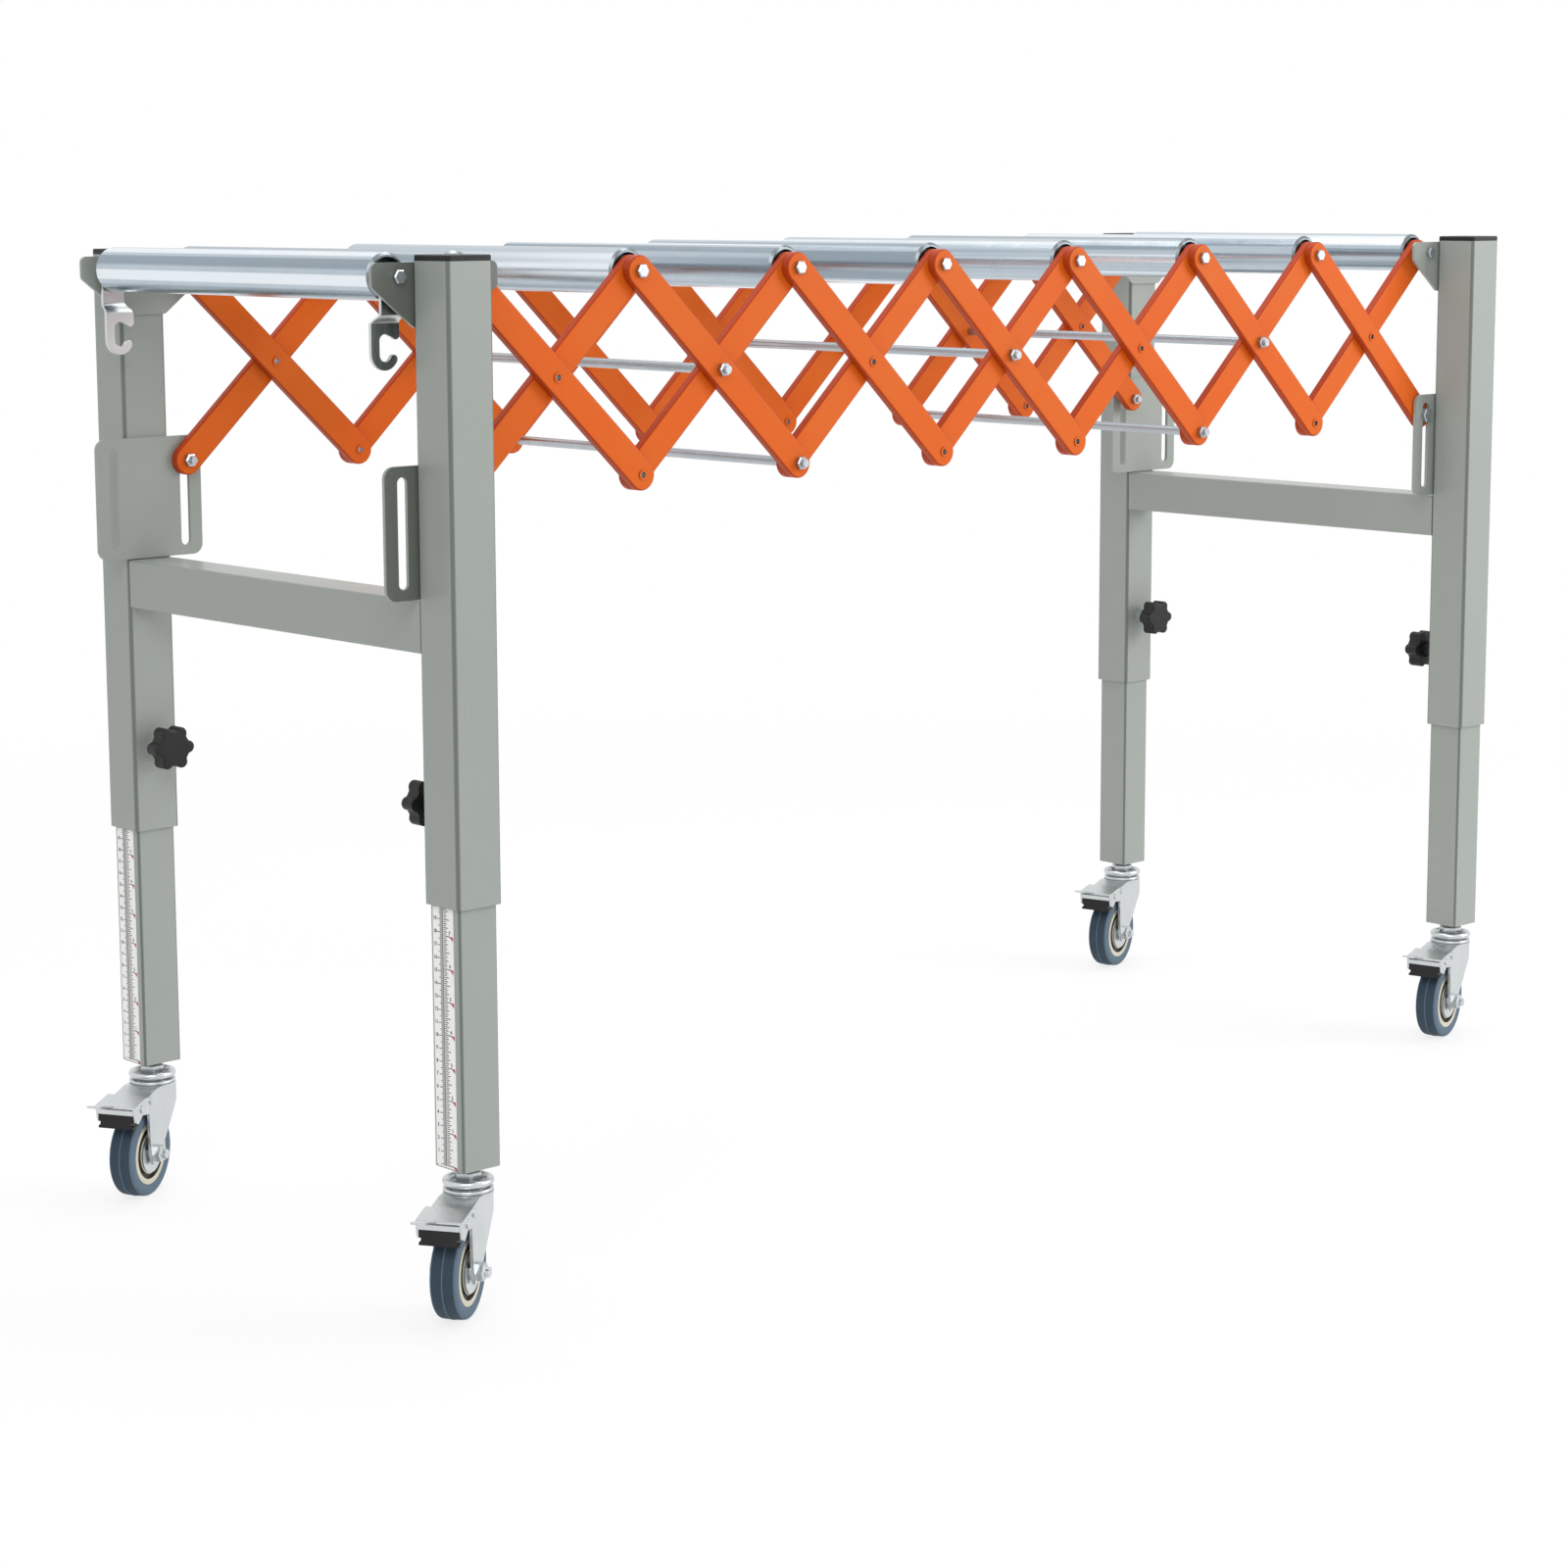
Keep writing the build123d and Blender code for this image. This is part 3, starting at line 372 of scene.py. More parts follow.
def faceCorners(mesh):
    # Corner places of every triangle of a node, in millimetres
    points = np.zeros(len(mesh.vertices) * 3)
    mesh.vertices.foreach_get("co", points)
    order = np.zeros(len(mesh.loops), dtype=int)
    mesh.loops.foreach_get("vertex_index", order)
    return points.reshape(-1, 3)[order].reshape(-1, 3, 3) / millimetre


def facingAcross(corners):
    # True where a triangle looks along the conveyor's width
    acrossShare = 0.7
    normal = np.cross(corners[:, 1] - corners[:, 0], corners[:, 2] - corners[:, 0])
    return abs(normal[:, 1]) > acrossShare * np.linalg.norm(normal, axis=1)


def dress(node, finishes, choose=None):
    # Gives a node its finishes; choose returns the number of the finish of each triangle
    mesh = nodes[node].data
    mesh.materials.clear()
    for finish in finishes:
        mesh.materials.append(finish)
    if choose:
        picked = np.asarray(choose(faceCorners(mesh)), dtype=int)
        mesh.polygons.foreach_set("material_index", picked)


def legAxis(corner):
    return jointPlaces[corner + "_caster_swivel"] / millimetre


def casterPlaces(corners, corner):
    # A caster's own frame: along its trail, across it and up, from the leg's axis on the floor
    axis = legAxis(corner)
    turn = math.radians(casterSwing[corner])
    along = (corners[..., 0] - axis.x) * math.cos(turn) + (corners[..., 1] - axis.y) * math.sin(turn)
    across = (corners[..., 1] - axis.y) * math.cos(turn) - (corners[..., 0] - axis.x) * math.sin(turn)
    return along, across, corners[..., 2]


# Pivot axes of the scissor as the part stands, from the first two pivots
firstPivot = jointPlaces["scissor_fold"] / millimetre
firstCross = jointPlaces["up_arm_1_pivot"] / millimetre
halfPitch = firstCross.x - firstPivot.x
halfDrop = firstPivot.z - firstCross.z
pivotSizes = {
    "hardwareReach": 7.7,
    "rivetBore": 2.7,
    "lipInner": 3.7,
    "lipOuter": 4.3,
    "rodReach": 3.2,
    "columns": 15,
    "rows": 3,
}
rivetSpots = [(1, 1), (5, 1), (9, 1), (13, 1), (2, 2), (6, 2), (8, 2), (12, 2)]
pivotAxes = [
    (
        firstPivot.x + column * halfPitch,
        firstPivot.z - row * halfDrop,
        pivotSizes["rivetBore" if (column, row) in rivetSpots else "hardwareReach"],
    )
    for column in range(pivotSizes["columns"])
    for row in range(pivotSizes["rows"])
]


def armFinish(corners):
    # Hardware and bores are zinc, the walls of the rivets' lips get a darker orange as painted shade, the
    # rest is painted
    finish = np.zeros(len(corners), dtype=int)
    for x, z, reach in pivotAxes:
        away = np.hypot(corners[..., 0] - x, corners[..., 2] - z)
        finish[(away < reach).all(axis=1)] = 1
        if reach == pivotSizes["rivetBore"]:
            rim = ((away > pivotSizes["lipInner"]) & (away < pivotSizes["lipOuter"])).all(axis=1)
            finish[rim & ~facingAcross(corners)] = 2
    return finish


legSizes = {"half": 18.0, "footLevel": 111.9, "stemTop": 130.0, "tubeReach": 15.5}


def dressLeg(corner):
    # The tube is painted; what sits in its foot and under it is zinc
    axis = legAxis(corner)

    def legFinish(corners):
        reach = np.maximum(abs(corners[..., 0] - axis.x), abs(corners[..., 1] - axis.y)).max(axis=1)
        isTall = corners[..., 2].max(axis=1) > legSizes["stemTop"]
        isTube = (corners[..., 2].min(axis=1) > legSizes["footLevel"]) & (reach > legSizes["tubeReach"])
        return ~(isTall | isTube)

    dress(corner + "_leg", [paint, pressedZinc], legFinish)


def dressKnob(corner):
    # Black plastic on a zinc stud
    axis = jointPlaces[corner + "_knob_turn"] / millimetre
    studReach = 4.1

    def knobFinish(corners):
        return (np.hypot(corners[..., 0] - axis.x, corners[..., 2] - axis.z) < studReach).all(axis=1)

    dress(corner + "_knob", [black, zinc], knobFinish)


casterSizes = {
    "axleHeight": 37.5,
    "trail": -26.0,
    "shoeTop": 80.6,
    "shoeHalf": 16.1,
    "grooveInner": 17.8,
    "grooveOuter": 22.7,
    "grooveHalf": 10.2,
    "discReach": 17.3,
    "discInner": 9.8,
    "bushReach": 6.3,
}


def dressCaster(corner):
    # Pressed zinc with a black brake shoe; the wheel's core is cream with painted shade in its groove
    s = casterSizes

    def shoeFinish(corners):
        _, across, up = casterPlaces(corners, corner)
        return ((up < s["shoeTop"]) & (abs(across) < s["shoeHalf"])).all(axis=1)

    def hubFinish(corners):
        along, across, up = casterPlaces(corners, corner)
        reach = np.hypot(along - s["trail"], up - s["axleHeight"])
        isBetween = (reach > s["grooveInner"]) & (reach < s["grooveOuter"])
        isGroove = (isBetween & (abs(across) < s["grooveHalf"])).all(axis=1)
        isDisc = ((reach < s["discReach"]) & (abs(across) > s["discInner"])).all(axis=1)
        isBush = (reach < s["bushReach"]).all(axis=1)
        return np.where(isDisc | isBush, 1, np.where(isGroove, 2, 0))

    dress(corner + "_fork", [pressedZinc])
    dress(corner + "_pedal", [pressedZinc, black], shoeFinish)
    dress(corner + "_hub", [cream, pressedZinc, grooveShadePaint], hubFinish)


rollerSizes = {
    "sealStart": 4.8,
    "sealEnd": 8.2,
    "housingDepth": 60.0,
    "housingReach": 15.9,
    "rimDepth": 2.2,
    "rimSpan": 5.0,
}


def dressRoller(index):
    # The tube's own triangles run from end to end, so a rim's are told by their short span
    s = rollerSizes
    low, high = (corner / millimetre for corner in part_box(f"roller_{index}"))

    def rollerFinish(corners):
        depth = np.minimum(corners[..., 1] - low.y, high.y - corners[..., 1])
        isSeal = ((depth > s["sealStart"]) & (depth < s["sealEnd"])).all(axis=1)
        reach = np.hypot(corners[..., 0] - (low.x + high.x) / 2, corners[..., 2] - (low.z + high.z) / 2)
        isInside = ((depth < s["housingDepth"]) & (reach < s["housingReach"])).all(axis=1)
        isRim = (depth < s["rimDepth"]).all(axis=1) & (np.ptp(corners[..., 1], axis=1) < s["rimSpan"])
        return np.where(isSeal, 1, np.where(isInside, 2, np.where(isRim, 3, 0)))

    dress(f"roller_{index}", [rollerZinc, sealRubber, zinc, rimZinc], rollerFinish)


def dressPlates(side):
    # The front brackets of the left frame take a darker copy of the frame paint: painted shade, as in the
    # shadow of its post
    def plateFinish(corners):
        return (corners[..., 1] < 0).all(axis=1) & facingAcross(corners)

    if side == "left":
        dress(side + "_frame_plates", [paint, platePaint], plateFinish)
    else:
        dress(side + "_frame_plates", [paint])


for side in ("left", "right"):
    dress(side + "_end_frame", [paint])
    dressPlates(side)
    dress(side + "_post_caps", [black])
for node in ("left_roller_axles", "right_roller_axle"):
    dress(node, [zinc])
for index in range(1, rollerCount + 1):
    dressRoller(index)
for index in range(1, cellCount + 1):
    dress(f"down_arm_{index}", [orange, zinc, lipShadeOrange], armFinish)
    dress(f"up_arm_{index}", [orange, zinc, lipShadeOrange], armFinish)
for corner in cornerNames:
    dressLeg(corner)
    dressKnob(corner)
    dressCaster(corner)
print("stage: nodes dressed")


def meshPiece(name, mesh, body, finishes, replaced=()):
    # A finished mesh becomes a piece that rides on a body
    piece = bpy.data.objects.new(name, mesh)
    bpy.context.scene.collection.objects.link(piece)
    if finishes:
        mesh.materials.clear()
        for finish in finishes:
            mesh.materials.append(finish)
    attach(piece, body)
    if replaced:
        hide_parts(*replaced)
    return piece


def baked(thing, place=None):
    # The evaluated shape of an object as a plain mesh, set down at a place; the object goes
    bpy.context.view_layer.update()
    graph = bpy.context.evaluated_depsgraph_get()
    mesh = bpy.data.meshes.new_from_object(thing.evaluated_get(graph))
    bpy.data.objects.remove(thing)
    if place is not None:
        mesh.transform(place)
    return mesh


class GrowTree(NodeSheet):
    # A geometry tree with named inputs, which ends by giving the mesh one finish
    def __init__(self, name, finish, **sizes):
        super().__init__(bpy.data.node_groups.new(name, "GeometryNodeTree"))
        self.finish = finish
        self.sizes = sizes
        self.tree.interface.new_socket(name="Geometry", in_out="INPUT", socket_type="NodeSocketGeometry")
        self.tree.interface.new_socket(name="Geometry", in_out="OUTPUT", socket_type="NodeSocketGeometry")
        kinds = {int: "NodeSocketInt", float: "NodeSocketFloat"}
        self.keys = {}
        for key, value in sizes.items():
            item = self.tree.interface.new_socket(name=key, in_out="INPUT", socket_type=kinds[type(value)])
            self.keys[key] = item.identifier
        self.entry = self.tree.nodes.new("NodeGroupInput")

    def input(self, key):
        return Wire(self, self.entry.outputs[key])

    def column(self, count):
        # As many points as the input says, one Step apart along Y
        offset = self.add("ShaderNodeCombineXYZ", {}, {1: self.input("Step")})
        values = {"Count": self.input(count), "Offset": offset}
        return self.add("GeometryNodeMeshLine", {"mode": "OFFSET"}, values)

    def close(self, wire):
        whole = self.add("GeometryNodeRealizeInstances", {}, {0: wire})
        done = self.add("GeometryNodeSetMaterial", {}, {"Geometry": whole, "Material": self.finish})
        outlet = self.tree.nodes.new("NodeGroupOutput")
        self.tree.links.new(done.socket, outlet.inputs[0])

    def grow(self, base, place=None, **changes):
        # Runs the tree on a base mesh and returns the plain mesh that comes of it
        carrier = bpy.data.objects.new("carrier", base)
        bpy.context.scene.collection.objects.link(carrier)
        modifier = carrier.modifiers.new("grow", "NODES")
        modifier.node_group = self.tree
        for key, value in {**self.sizes, **changes}.items():
            modifier[self.keys[key]] = value
        return baked(carrier, place)


def joined(name, meshes):
    # Several plain meshes as one, each keeping its own finishes
    whole = bpy.data.meshes.new(name)
    shape = bmesh.new()
    finishes = []
    for mesh in meshes:
        first = len(shape.faces)
        shape.from_mesh(mesh)
        shape.faces.ensure_lookup_table()
        own = list(mesh.materials)
        for finish in own:
            if finish not in finishes:
                finishes.append(finish)
        for face in shape.faces[first:]:
            face.material_index = finishes.index(own[face.material_index])
    shape.to_mesh(whole)
    shape.free()
    for finish in finishes:
        whole.materials.append(finish)
    return whole


def pointMesh(name, points):
    mesh = bpy.data.meshes.new(name)
    mesh.from_pydata([tuple(point) for point in points], [], [])
    return mesh


# Coupling hooks: a strap with a joggle and a rounded hook with two blunt jaws, from the strap's eye
hookSizes = {
    "strapHalf": 10.0,
    "bladeHalf": 13.0,
    "thick": 3.0,
    "edge": 0.4,
    "joggle": 9.0,
    "bend": (27.0, 35.0),
    "foot": 69.0,
    "eye": 4.15,
    "slotHalf": 4.9,
    "slotTop": (-0.3, -47.2),
    "slotFoot": (-0.3, -57.5),
    "heel": (-0.5, -56.5),
    "jaw": 3.5,
    "highJawLevel": -42.9,
    "lowJawTurn": -28,
    "shoulderDrop": 1.0,
    "shoulderCut": 0.4,
    "bendSteps": 8,
    "weld": 0.01,
    "flatShare": 0.8,
}


def arc(centre, radius, first, last, steps=10):
    # Points round a centre, between two angles in degrees
    turns = (math.radians(first + (last - first) * step / steps) for step in range(steps + 1))
    return [(centre[0] + radius * math.cos(turn), centre[1] + radius * math.sin(turn)) for turn in turns]


def hookOutline():
    # Round the strap's top, down the left edge, round the heel and the two jaws, and up the right edge
    s = hookSizes
    heelRadius = s["foot"] + s["heel"][1]
    lowJaw = arc(s["heel"], heelRadius - s["jaw"], s["lowJawTurn"], s["lowJawTurn"], 1)[0]
    highJaw = (s["bladeHalf"] - s["jaw"], s["highJawLevel"])
    strapEnd, bladeStart = s["bend"]
    return (
        arc((0, 0), s["strapHalf"], 0, 180, 18)
        + [(-s["strapHalf"], -strapEnd), (-s["bladeHalf"], -bladeStart)]
        + arc(s["heel"], heelRadius, 180, 332, 20)
        + arc(lowJaw, s["jaw"], -20, 130, 10)
        + arc(s["slotFoot"], s["slotHalf"], -32, -180, 12)
        + arc(s["slotTop"], s["slotHalf"], 180, 52, 12)
        + arc(highJaw, s["jaw"], 215, 360, 10)
        + [(s["bladeHalf"], -bladeStart - s["shoulderDrop"])]
        + [(s["bladeHalf"] - s["shoulderCut"], -bladeStart), (s["strapHalf"], -strapEnd)]
    )


def hookMesh():
    # The flat blank, with rounded edges, bent at the joggle
    s = hookSizes
    blank = bpy.data.curves.new("hookBlank", "CURVE")
    blank.dimensions = "2D"
    blank.fill_mode = "BOTH"
    blank.extrude = s["thick"] / 2 - s["edge"]
    blank.bevel_depth = s["edge"]
    blank.bevel_resolution = 2
    blank.offset = -s["edge"]
    for contour in (hookOutline(), arc((0, 0), s["eye"], 350, 0, 28)):
        line = blank.splines.new("POLY")
        line.points.add(len(contour) - 1)
        for point, (across, up) in zip(line.points, contour):
            point.co = (across, up, 0, 1)
        line.use_cyclic_u = True
    thing = bpy.data.objects.new("hookBlank", blank)
    bpy.context.scene.collection.objects.link(thing)
    mesh = baked(thing)
    shape = bmesh.new()
    shape.from_mesh(mesh)
    bmesh.ops.remove_doubles(shape, verts=shape.verts, dist=s["weld"])
    low, high = s["bend"]
    for step in range(s["bendSteps"] + 1):
        depth = low + (high - low) * step / s["bendSteps"]
        whole = shape.verts[:] + shape.edges[:] + shape.faces[:]
        bmesh.ops.bisect_plane(shape, geom=whole, plane_co=(0, -depth, 0), plane_no=(0, 1, 0))
    for vert in shape.verts:
        share = min(max((-vert.co.y - low) / (high - low), 0), 1)
        vert.co.z += s["joggle"] * share * share * (3 - 2 * share)
    bmesh.ops.recalc_face_normals(shape, faces=shape.faces)
    shape.to_mesh(mesh)
    shape.free()
    return mesh


hookShape = hookMesh()
# The front hook's flat faces take the dark zinc as painted shade; its rounded edges stay bright zinc
for side, inward, finish in (("front", 1, shadeZinc), ("back", -1, pressedZinc)):
    low, high = (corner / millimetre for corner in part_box(side + "_hook"))
    outerFace = low.y if inward == 1 else high.y
    place = Matrix((
        (1, 0, 0, (low.x + high.x) / 2),
        (0, 0, inward, outerFace + inward * hookSizes["thick"] / 2),
        (0, 1, 0, high.z - hookSizes["strapHalf"]),
        (0, 0, 0, 1),
    ))
    mesh = hookShape.copy()
    mesh.transform(toMetres @ place)
    if inward == 1:
        mesh.flip_normals()
    body = side + "_hook"
    meshPiece(body + "_plate", mesh, body, [finish, pressedZinc], [body])
    for face in mesh.polygons:
        face.material_index = 0 if abs(face.normal.y) > hookSizes["flatShare"] else 1
print("stage: hooks made")


# Scale on each leg: white film, centimetres on the left, inches on the right with a red mark each
scaleSizes = {
    "width": 25.2,
    "backMargin": 3.4,
    "foot": 113.0,
    "length": 380.0,
    "corner": 1.2,
    "start": 2.0,
    "film": 0.12,
    "ink": 0.03,
    "divider": 8.6,
    "dividerWidth": 3.2,
    "dividerLine": 0.7,
    "dividerEnd": 1.0,
    "centimetre": 10.0,
    "halfCentimetres": 76,
    "lastCentimetre": 37,
    "digitHeight": 2.9,
    "fontShare": 1.35,
    "digitBold": 0.16,
    "digitPlace": 2.7,
    "inch": 25.4,
    "sixteenths": 232,
    "inchMarks": 15,
    "lastInch": 14,
    "inchPlace": 13.0,
    "inchDigitPlace": 20.3,
    "inchDigitRise": 2.6,
    "markPlace": 24.6,
    "markRise": 0.3,
    "markWidth": 4.6,
    "markHeight": 3.7,
}


def tickTree():
    # A column of upright ticks; every second, fourth, eighth and sixteenth one is longer
    tree = GrowTree(
        "scaleTicks", filmBlack, Count=10, Step=1.0, Short=1.0, Second=0.0, Fourth=0.0, Eighth=0.0,
        Sixteenth=0.0, Line=0.2, Ink=0.03,
    )
    row = tree.column("Count")
    index = tree.add("GeometryNodeInputIndex", {}, {})
    length = tree.input("Short")
    for key, every in (("Second", 2), ("Fourth", 4), ("Eighth", 8), ("Sixteenth", 16)):
        length = length + tree.input(key) * ((index % every) < 0.5)
    dash = tree.add("GeometryNodeMeshCube", {}, {"Size": (1.0, 1.0, 1.0)})
    shift = tree.add("GeometryNodeTransform", {}, {"Geometry": dash, "Translation": (0.5, 0.0, 0.5)})
    size = tree.add("ShaderNodeCombineXYZ", {}, {0: length, 1: tree.input("Line"), 2: tree.input("Ink")})
    ticks = tree.add("GeometryNodeInstanceOnPoints", {}, {"Points": row, "Instance": shift, "Scale": size})
    tree.close(ticks)
    return tree


def markTree():
    # A red right-angled mark at every inch, its square corner at the top right
    tree = GrowTree("inchMarks", filmRed, Count=10, Step=scaleSizes["inch"], Ink=0.03)
    row = tree.column("Count")
    size = tree.add("ShaderNodeCombineXYZ", {}, {0: 1.0, 1: 1.0, 2: tree.input("Ink")})
    flag = tree.input("Geometry")
    marks = tree.add("GeometryNodeInstanceOnPoints", {}, {"Points": row, "Instance": flag, "Scale": size})
    tree.close(marks)
    return tree


def slab(left, foot, width, height, low, high, finish, bevel=0.0):
    # A thin rectangular film between two levels
    mesh = bpy.data.meshes.new("slab")
    shape = bmesh.new()
    bmesh.ops.create_cube(shape, size=1.0)
    for vert in shape.verts:
        vert.co = (
            left + (vert.co.x + 0.5) * width,
            foot + (vert.co.y + 0.5) * height,
            low + (vert.co.z + 0.5) * (high - low),
        )
    if bevel:
        upright = [
            edge for edge in shape.edges
            if abs(edge.verts[0].co.z - edge.verts[1].co.z) > (high - low) / 2
        ]
        bmesh.ops.bevel(shape, geom=upright, offset=bevel, segments=4, affect="EDGES")
    shape.to_mesh(mesh)
    shape.free()
    mesh.materials.append(finish)
    return mesh


def numberMesh(value, across, up, level):
    # A small printed number, centred where it is put
    letters = bpy.data.curves.new("number", "FONT")
    letters.body = str(value)
    letters.size = scaleSizes["digitHeight"] * scaleSizes["fontShare"]
    letters.align_x = "CENTER"
    letters.align_y = "CENTER"
    letters.resolution_u = 2
    letters.offset = scaleSizes["digitBold"]
    letters.extrude = scaleSizes["ink"] / 2
    thing = bpy.data.objects.new("number", letters)
    bpy.context.scene.collection.objects.link(thing)
    mesh = baked(thing, Matrix.Translation((across, up, level)))
    mesh.materials.clear()
    mesh.materials.append(filmBlack)
    return mesh


def flagMesh():
    # The three-cornered mark, one millimetre thick
    wide, tall = scaleSizes["markWidth"], scaleSizes["markHeight"]
    corners = [(-wide, 0), (0, -tall), (0, 0)]
    mesh = bpy.data.meshes.new("flag")
    points = [(x, y, level) for level in (0, 1) for x, y in corners]
    mesh.from_pydata(points, [], [(2, 1, 0), (3, 4, 5), (0, 1, 4, 3), (1, 2, 5, 4), (2, 0, 3, 5)])
    return mesh


def scaleMesh():
    # One scale, lying in its own plane, in millimetres; the centimetres' ticks point to the left
    s = scaleSizes
    ticks, marks = tickTree(), markTree()
    ink, top, start = s["ink"], s["film"], s["start"]
    lift = Matrix.Translation
    mirror = Matrix.Diagonal((-1.0, 1.0, 1.0, 1.0))
    centimetres = ticks.grow(
        pointMesh("row", []), lift((s["divider"], start, top)) @ mirror,
        Count=s["halfCentimetres"], Step=s["centimetre"] / 2,
        Short=1.5, Second=1.9, Line=0.62, Ink=ink,
    )
    centimetres.flip_normals()
    inches = ticks.grow(
        pointMesh("row", []), lift((s["inchPlace"], start, top)),
        Count=s["sixteenths"], Step=s["inch"] / 16,
        Short=3.4, Second=1.0, Fourth=1.2, Eighth=1.4, Sixteenth=1.2, Line=0.7, Ink=ink,
    )
    reds = marks.grow(
        flagMesh(), lift((s["markPlace"], start + s["markRise"], top)), Count=s["inchMarks"], Ink=ink,
    )
    foot, height = s["dividerEnd"], s["length"] - 2 * s["dividerEnd"]
    parts = [
        slab(0, 0, s["width"], s["length"], 0, top, filmWhite, s["corner"]),
        slab(s["divider"], foot, s["dividerWidth"], height, top, top + ink, filmGrey),
        slab(s["divider"] + s["dividerWidth"], foot, s["dividerLine"], height, top, top + ink, filmBlack),
        centimetres, inches, reds,
    ]
    for value in range(1, s["lastCentimetre"] + 1):
        parts.append(numberMesh(value, s["digitPlace"], start + value * s["centimetre"], top + ink / 2))
    for value in range(1, s["lastInch"] + 1):
        level = start + value * s["inch"] + s["inchDigitRise"]
        parts.append(numberMesh(value, s["inchDigitPlace"], level, top + ink / 2))
    return joined("legScale", parts)


scaleShape = scaleMesh()
for corner in cornerNames:
    # Across the film runs to the right of a viewer who looks at the leg's outer face
    axis = legAxis(corner)
    out = -1 if corner.startswith("left") else 1
    place = Matrix((
        (0, 0, out, axis.x + out * legSizes["half"]),
        (out, 0, 0, axis.y - out * (legSizes["half"] - scaleSizes["backMargin"])),
        (0, 1, 0, scaleSizes["foot"]),
        (0, 0, 0, 1),
    ))
    mesh = scaleShape.copy()
    mesh.transform(toMetres @ place)
    meshPiece(corner + "_scale", mesh, corner + "_leg", None)
print("stage: leg scales made")


# Tyres: a rounded tread with its mould line, shoulders and a stepped side wall
tyreSizes = {
    "radius": casterSizes["axleHeight"],
    "inner": 27.0,
    "half": 11.0,
    "mouldLine": 0.35,
    "insideHalf": 3.3,
    "segments": 120,
}


def tyreProfile():
    # Half the section from the mould line outwards, as places across and radii
    s = tyreSizes
    crown = s["radius"] - s["mouldLine"]
    return [
        (0.0, s["radius"]),
        (0.4, s["radius"] - 0.04),
        (0.65, crown),
        (4.0, crown - 0.04),
        (7.4, crown - 0.2),
        (8.7, crown - 0.45),
        (9.5, crown - 0.95),
        (10.1, crown - 1.7),
        (10.5, crown - 2.7),
        (10.8, crown - 4.1),
        (10.85, s["inner"] + 3.2),
        (10.6, s["inner"] + 2.6),
        (10.6, s["inner"] + 1.0),
        (10.2, s["inner"] + 0.1),
        (10.0, s["inner"]),
    ]


def tyreMesh():
    # The section turned round the axle, with UVs that run round the tyre and across it
    half = tyreProfile()
    inner, insideHalf, count = (tyreSizes[key] for key in ("inner", "insideHalf", "segments"))
    section = [(-across, radius) for across, radius in reversed(half[1:])] + half
    section += [(insideHalf, inner), (-insideHalf, inner)]
    shape = bmesh.new()
    uvs = shape.loops.layers.uv.new("UVMap")
    rings = []
    for step in range(count):
        turn = 2 * math.pi * step / count
        rings.append([
            shape.verts.new((radius * math.cos(turn), across, radius * math.sin(turn)))
            for across, radius in section
        ])
    spread = 2 * tyreSizes["half"]
    for step in range(count):
        here, after = rings[step], rings[(step + 1) % count]
        for spot in range(len(section)):
            nextSpot = (spot + 1) % len(section)
            face = shape.faces.new((here[spot], here[nextSpot], after[nextSpot], after[spot]))
            face.smooth = True
            ends = ((step, spot), (step, nextSpot), (step + 1, nextSpot), (step + 1, spot))
            for loop, (around, across) in zip(face.loops, ends):
                loop[uvs].uv = (around / count, section[across][0] / spread + 0.5)
    bmesh.ops.recalc_face_normals(shape, faces=shape.faces)
    mesh = bpy.data.meshes.new("tyre")
    shape.to_mesh(mesh)
    shape.free()
    return mesh


tyreShape = tyreMesh()
for corner in cornerNames:
    axis = legAxis(corner)
    turn = Matrix.Rotation(math.radians(casterSwing[corner]), 4, "Z")
    axle = Matrix.Translation((casterSizes["trail"], 0, casterSizes["axleHeight"]))
    stand = Matrix.Translation((axis.x, axis.y, 0)) @ turn @ axle
    mesh = tyreShape.copy()
    mesh.transform(toMetres @ stand)
    meshPiece(corner + "_tyre_tread", mesh, corner + "_wheel", [rubber], [corner + "_tyre"])
print("stage: tyres made")


# Threads that show beyond the nuts of the tie rods and of the slot pins
threadSizes = {"ridgeRadius": 3.2, "wire": 0.28, "step": 0.75, "turns": 4, "tip": 0.35}
lowRodArms = (2, 5)


def threadTree():
    # Stands a few ridges on each point, one behind the other across the conveyor
    s = threadSizes
    tree = GrowTree(
        "threadRidges", zinc, Radius=s["ridgeRadius"], Wire=s["wire"], Step=s["step"], Turns=s["turns"],
    )

    def circle(resolution, radius):
        values = {"Resolution": resolution, "Radius": tree.input(radius)}
        return tree.add("GeometryNodeCurvePrimitiveCircle", {}, values)

    def stand(points, shape):
        return tree.add("GeometryNodeInstanceOnPoints", {}, {"Points": points, "Instance": shape})

    row = tree.column("Turns")
    hoop, section = circle(20, "Radius"), circle(6, "Wire")
    ridge = tree.add("GeometryNodeCurveToMesh", {}, {0: hoop, 1: section})
    quarter = (math.pi / 2, 0.0, 0.0)
    upright = tree.add("GeometryNodeTransform", {}, {"Geometry": ridge, "Rotation": quarter})
    whole = tree.add("GeometryNodeRealizeInstances", {}, {0: stand(row, upright)})
    tree.close(stand(tree.input("Geometry"), whole))
    return tree


def threadPoints(index):
    # Where the threads of one arm's tie rods start, front and back: at its middle and at its low pivot
    column = 2 * (index - 1)
    spots = []
    if index % 2 == 0:
        spots.append((column + 1, 1))
    if index in lowRodArms:
        spots.append((column + 2, 2))
    points = []
    for across, down in spots:
        x = firstPivot.x + across * halfPitch
        z = firstPivot.z - down * halfDrop
        points.append((x, rodFront, z))
        points.append((x, rodBack, z))
    return points


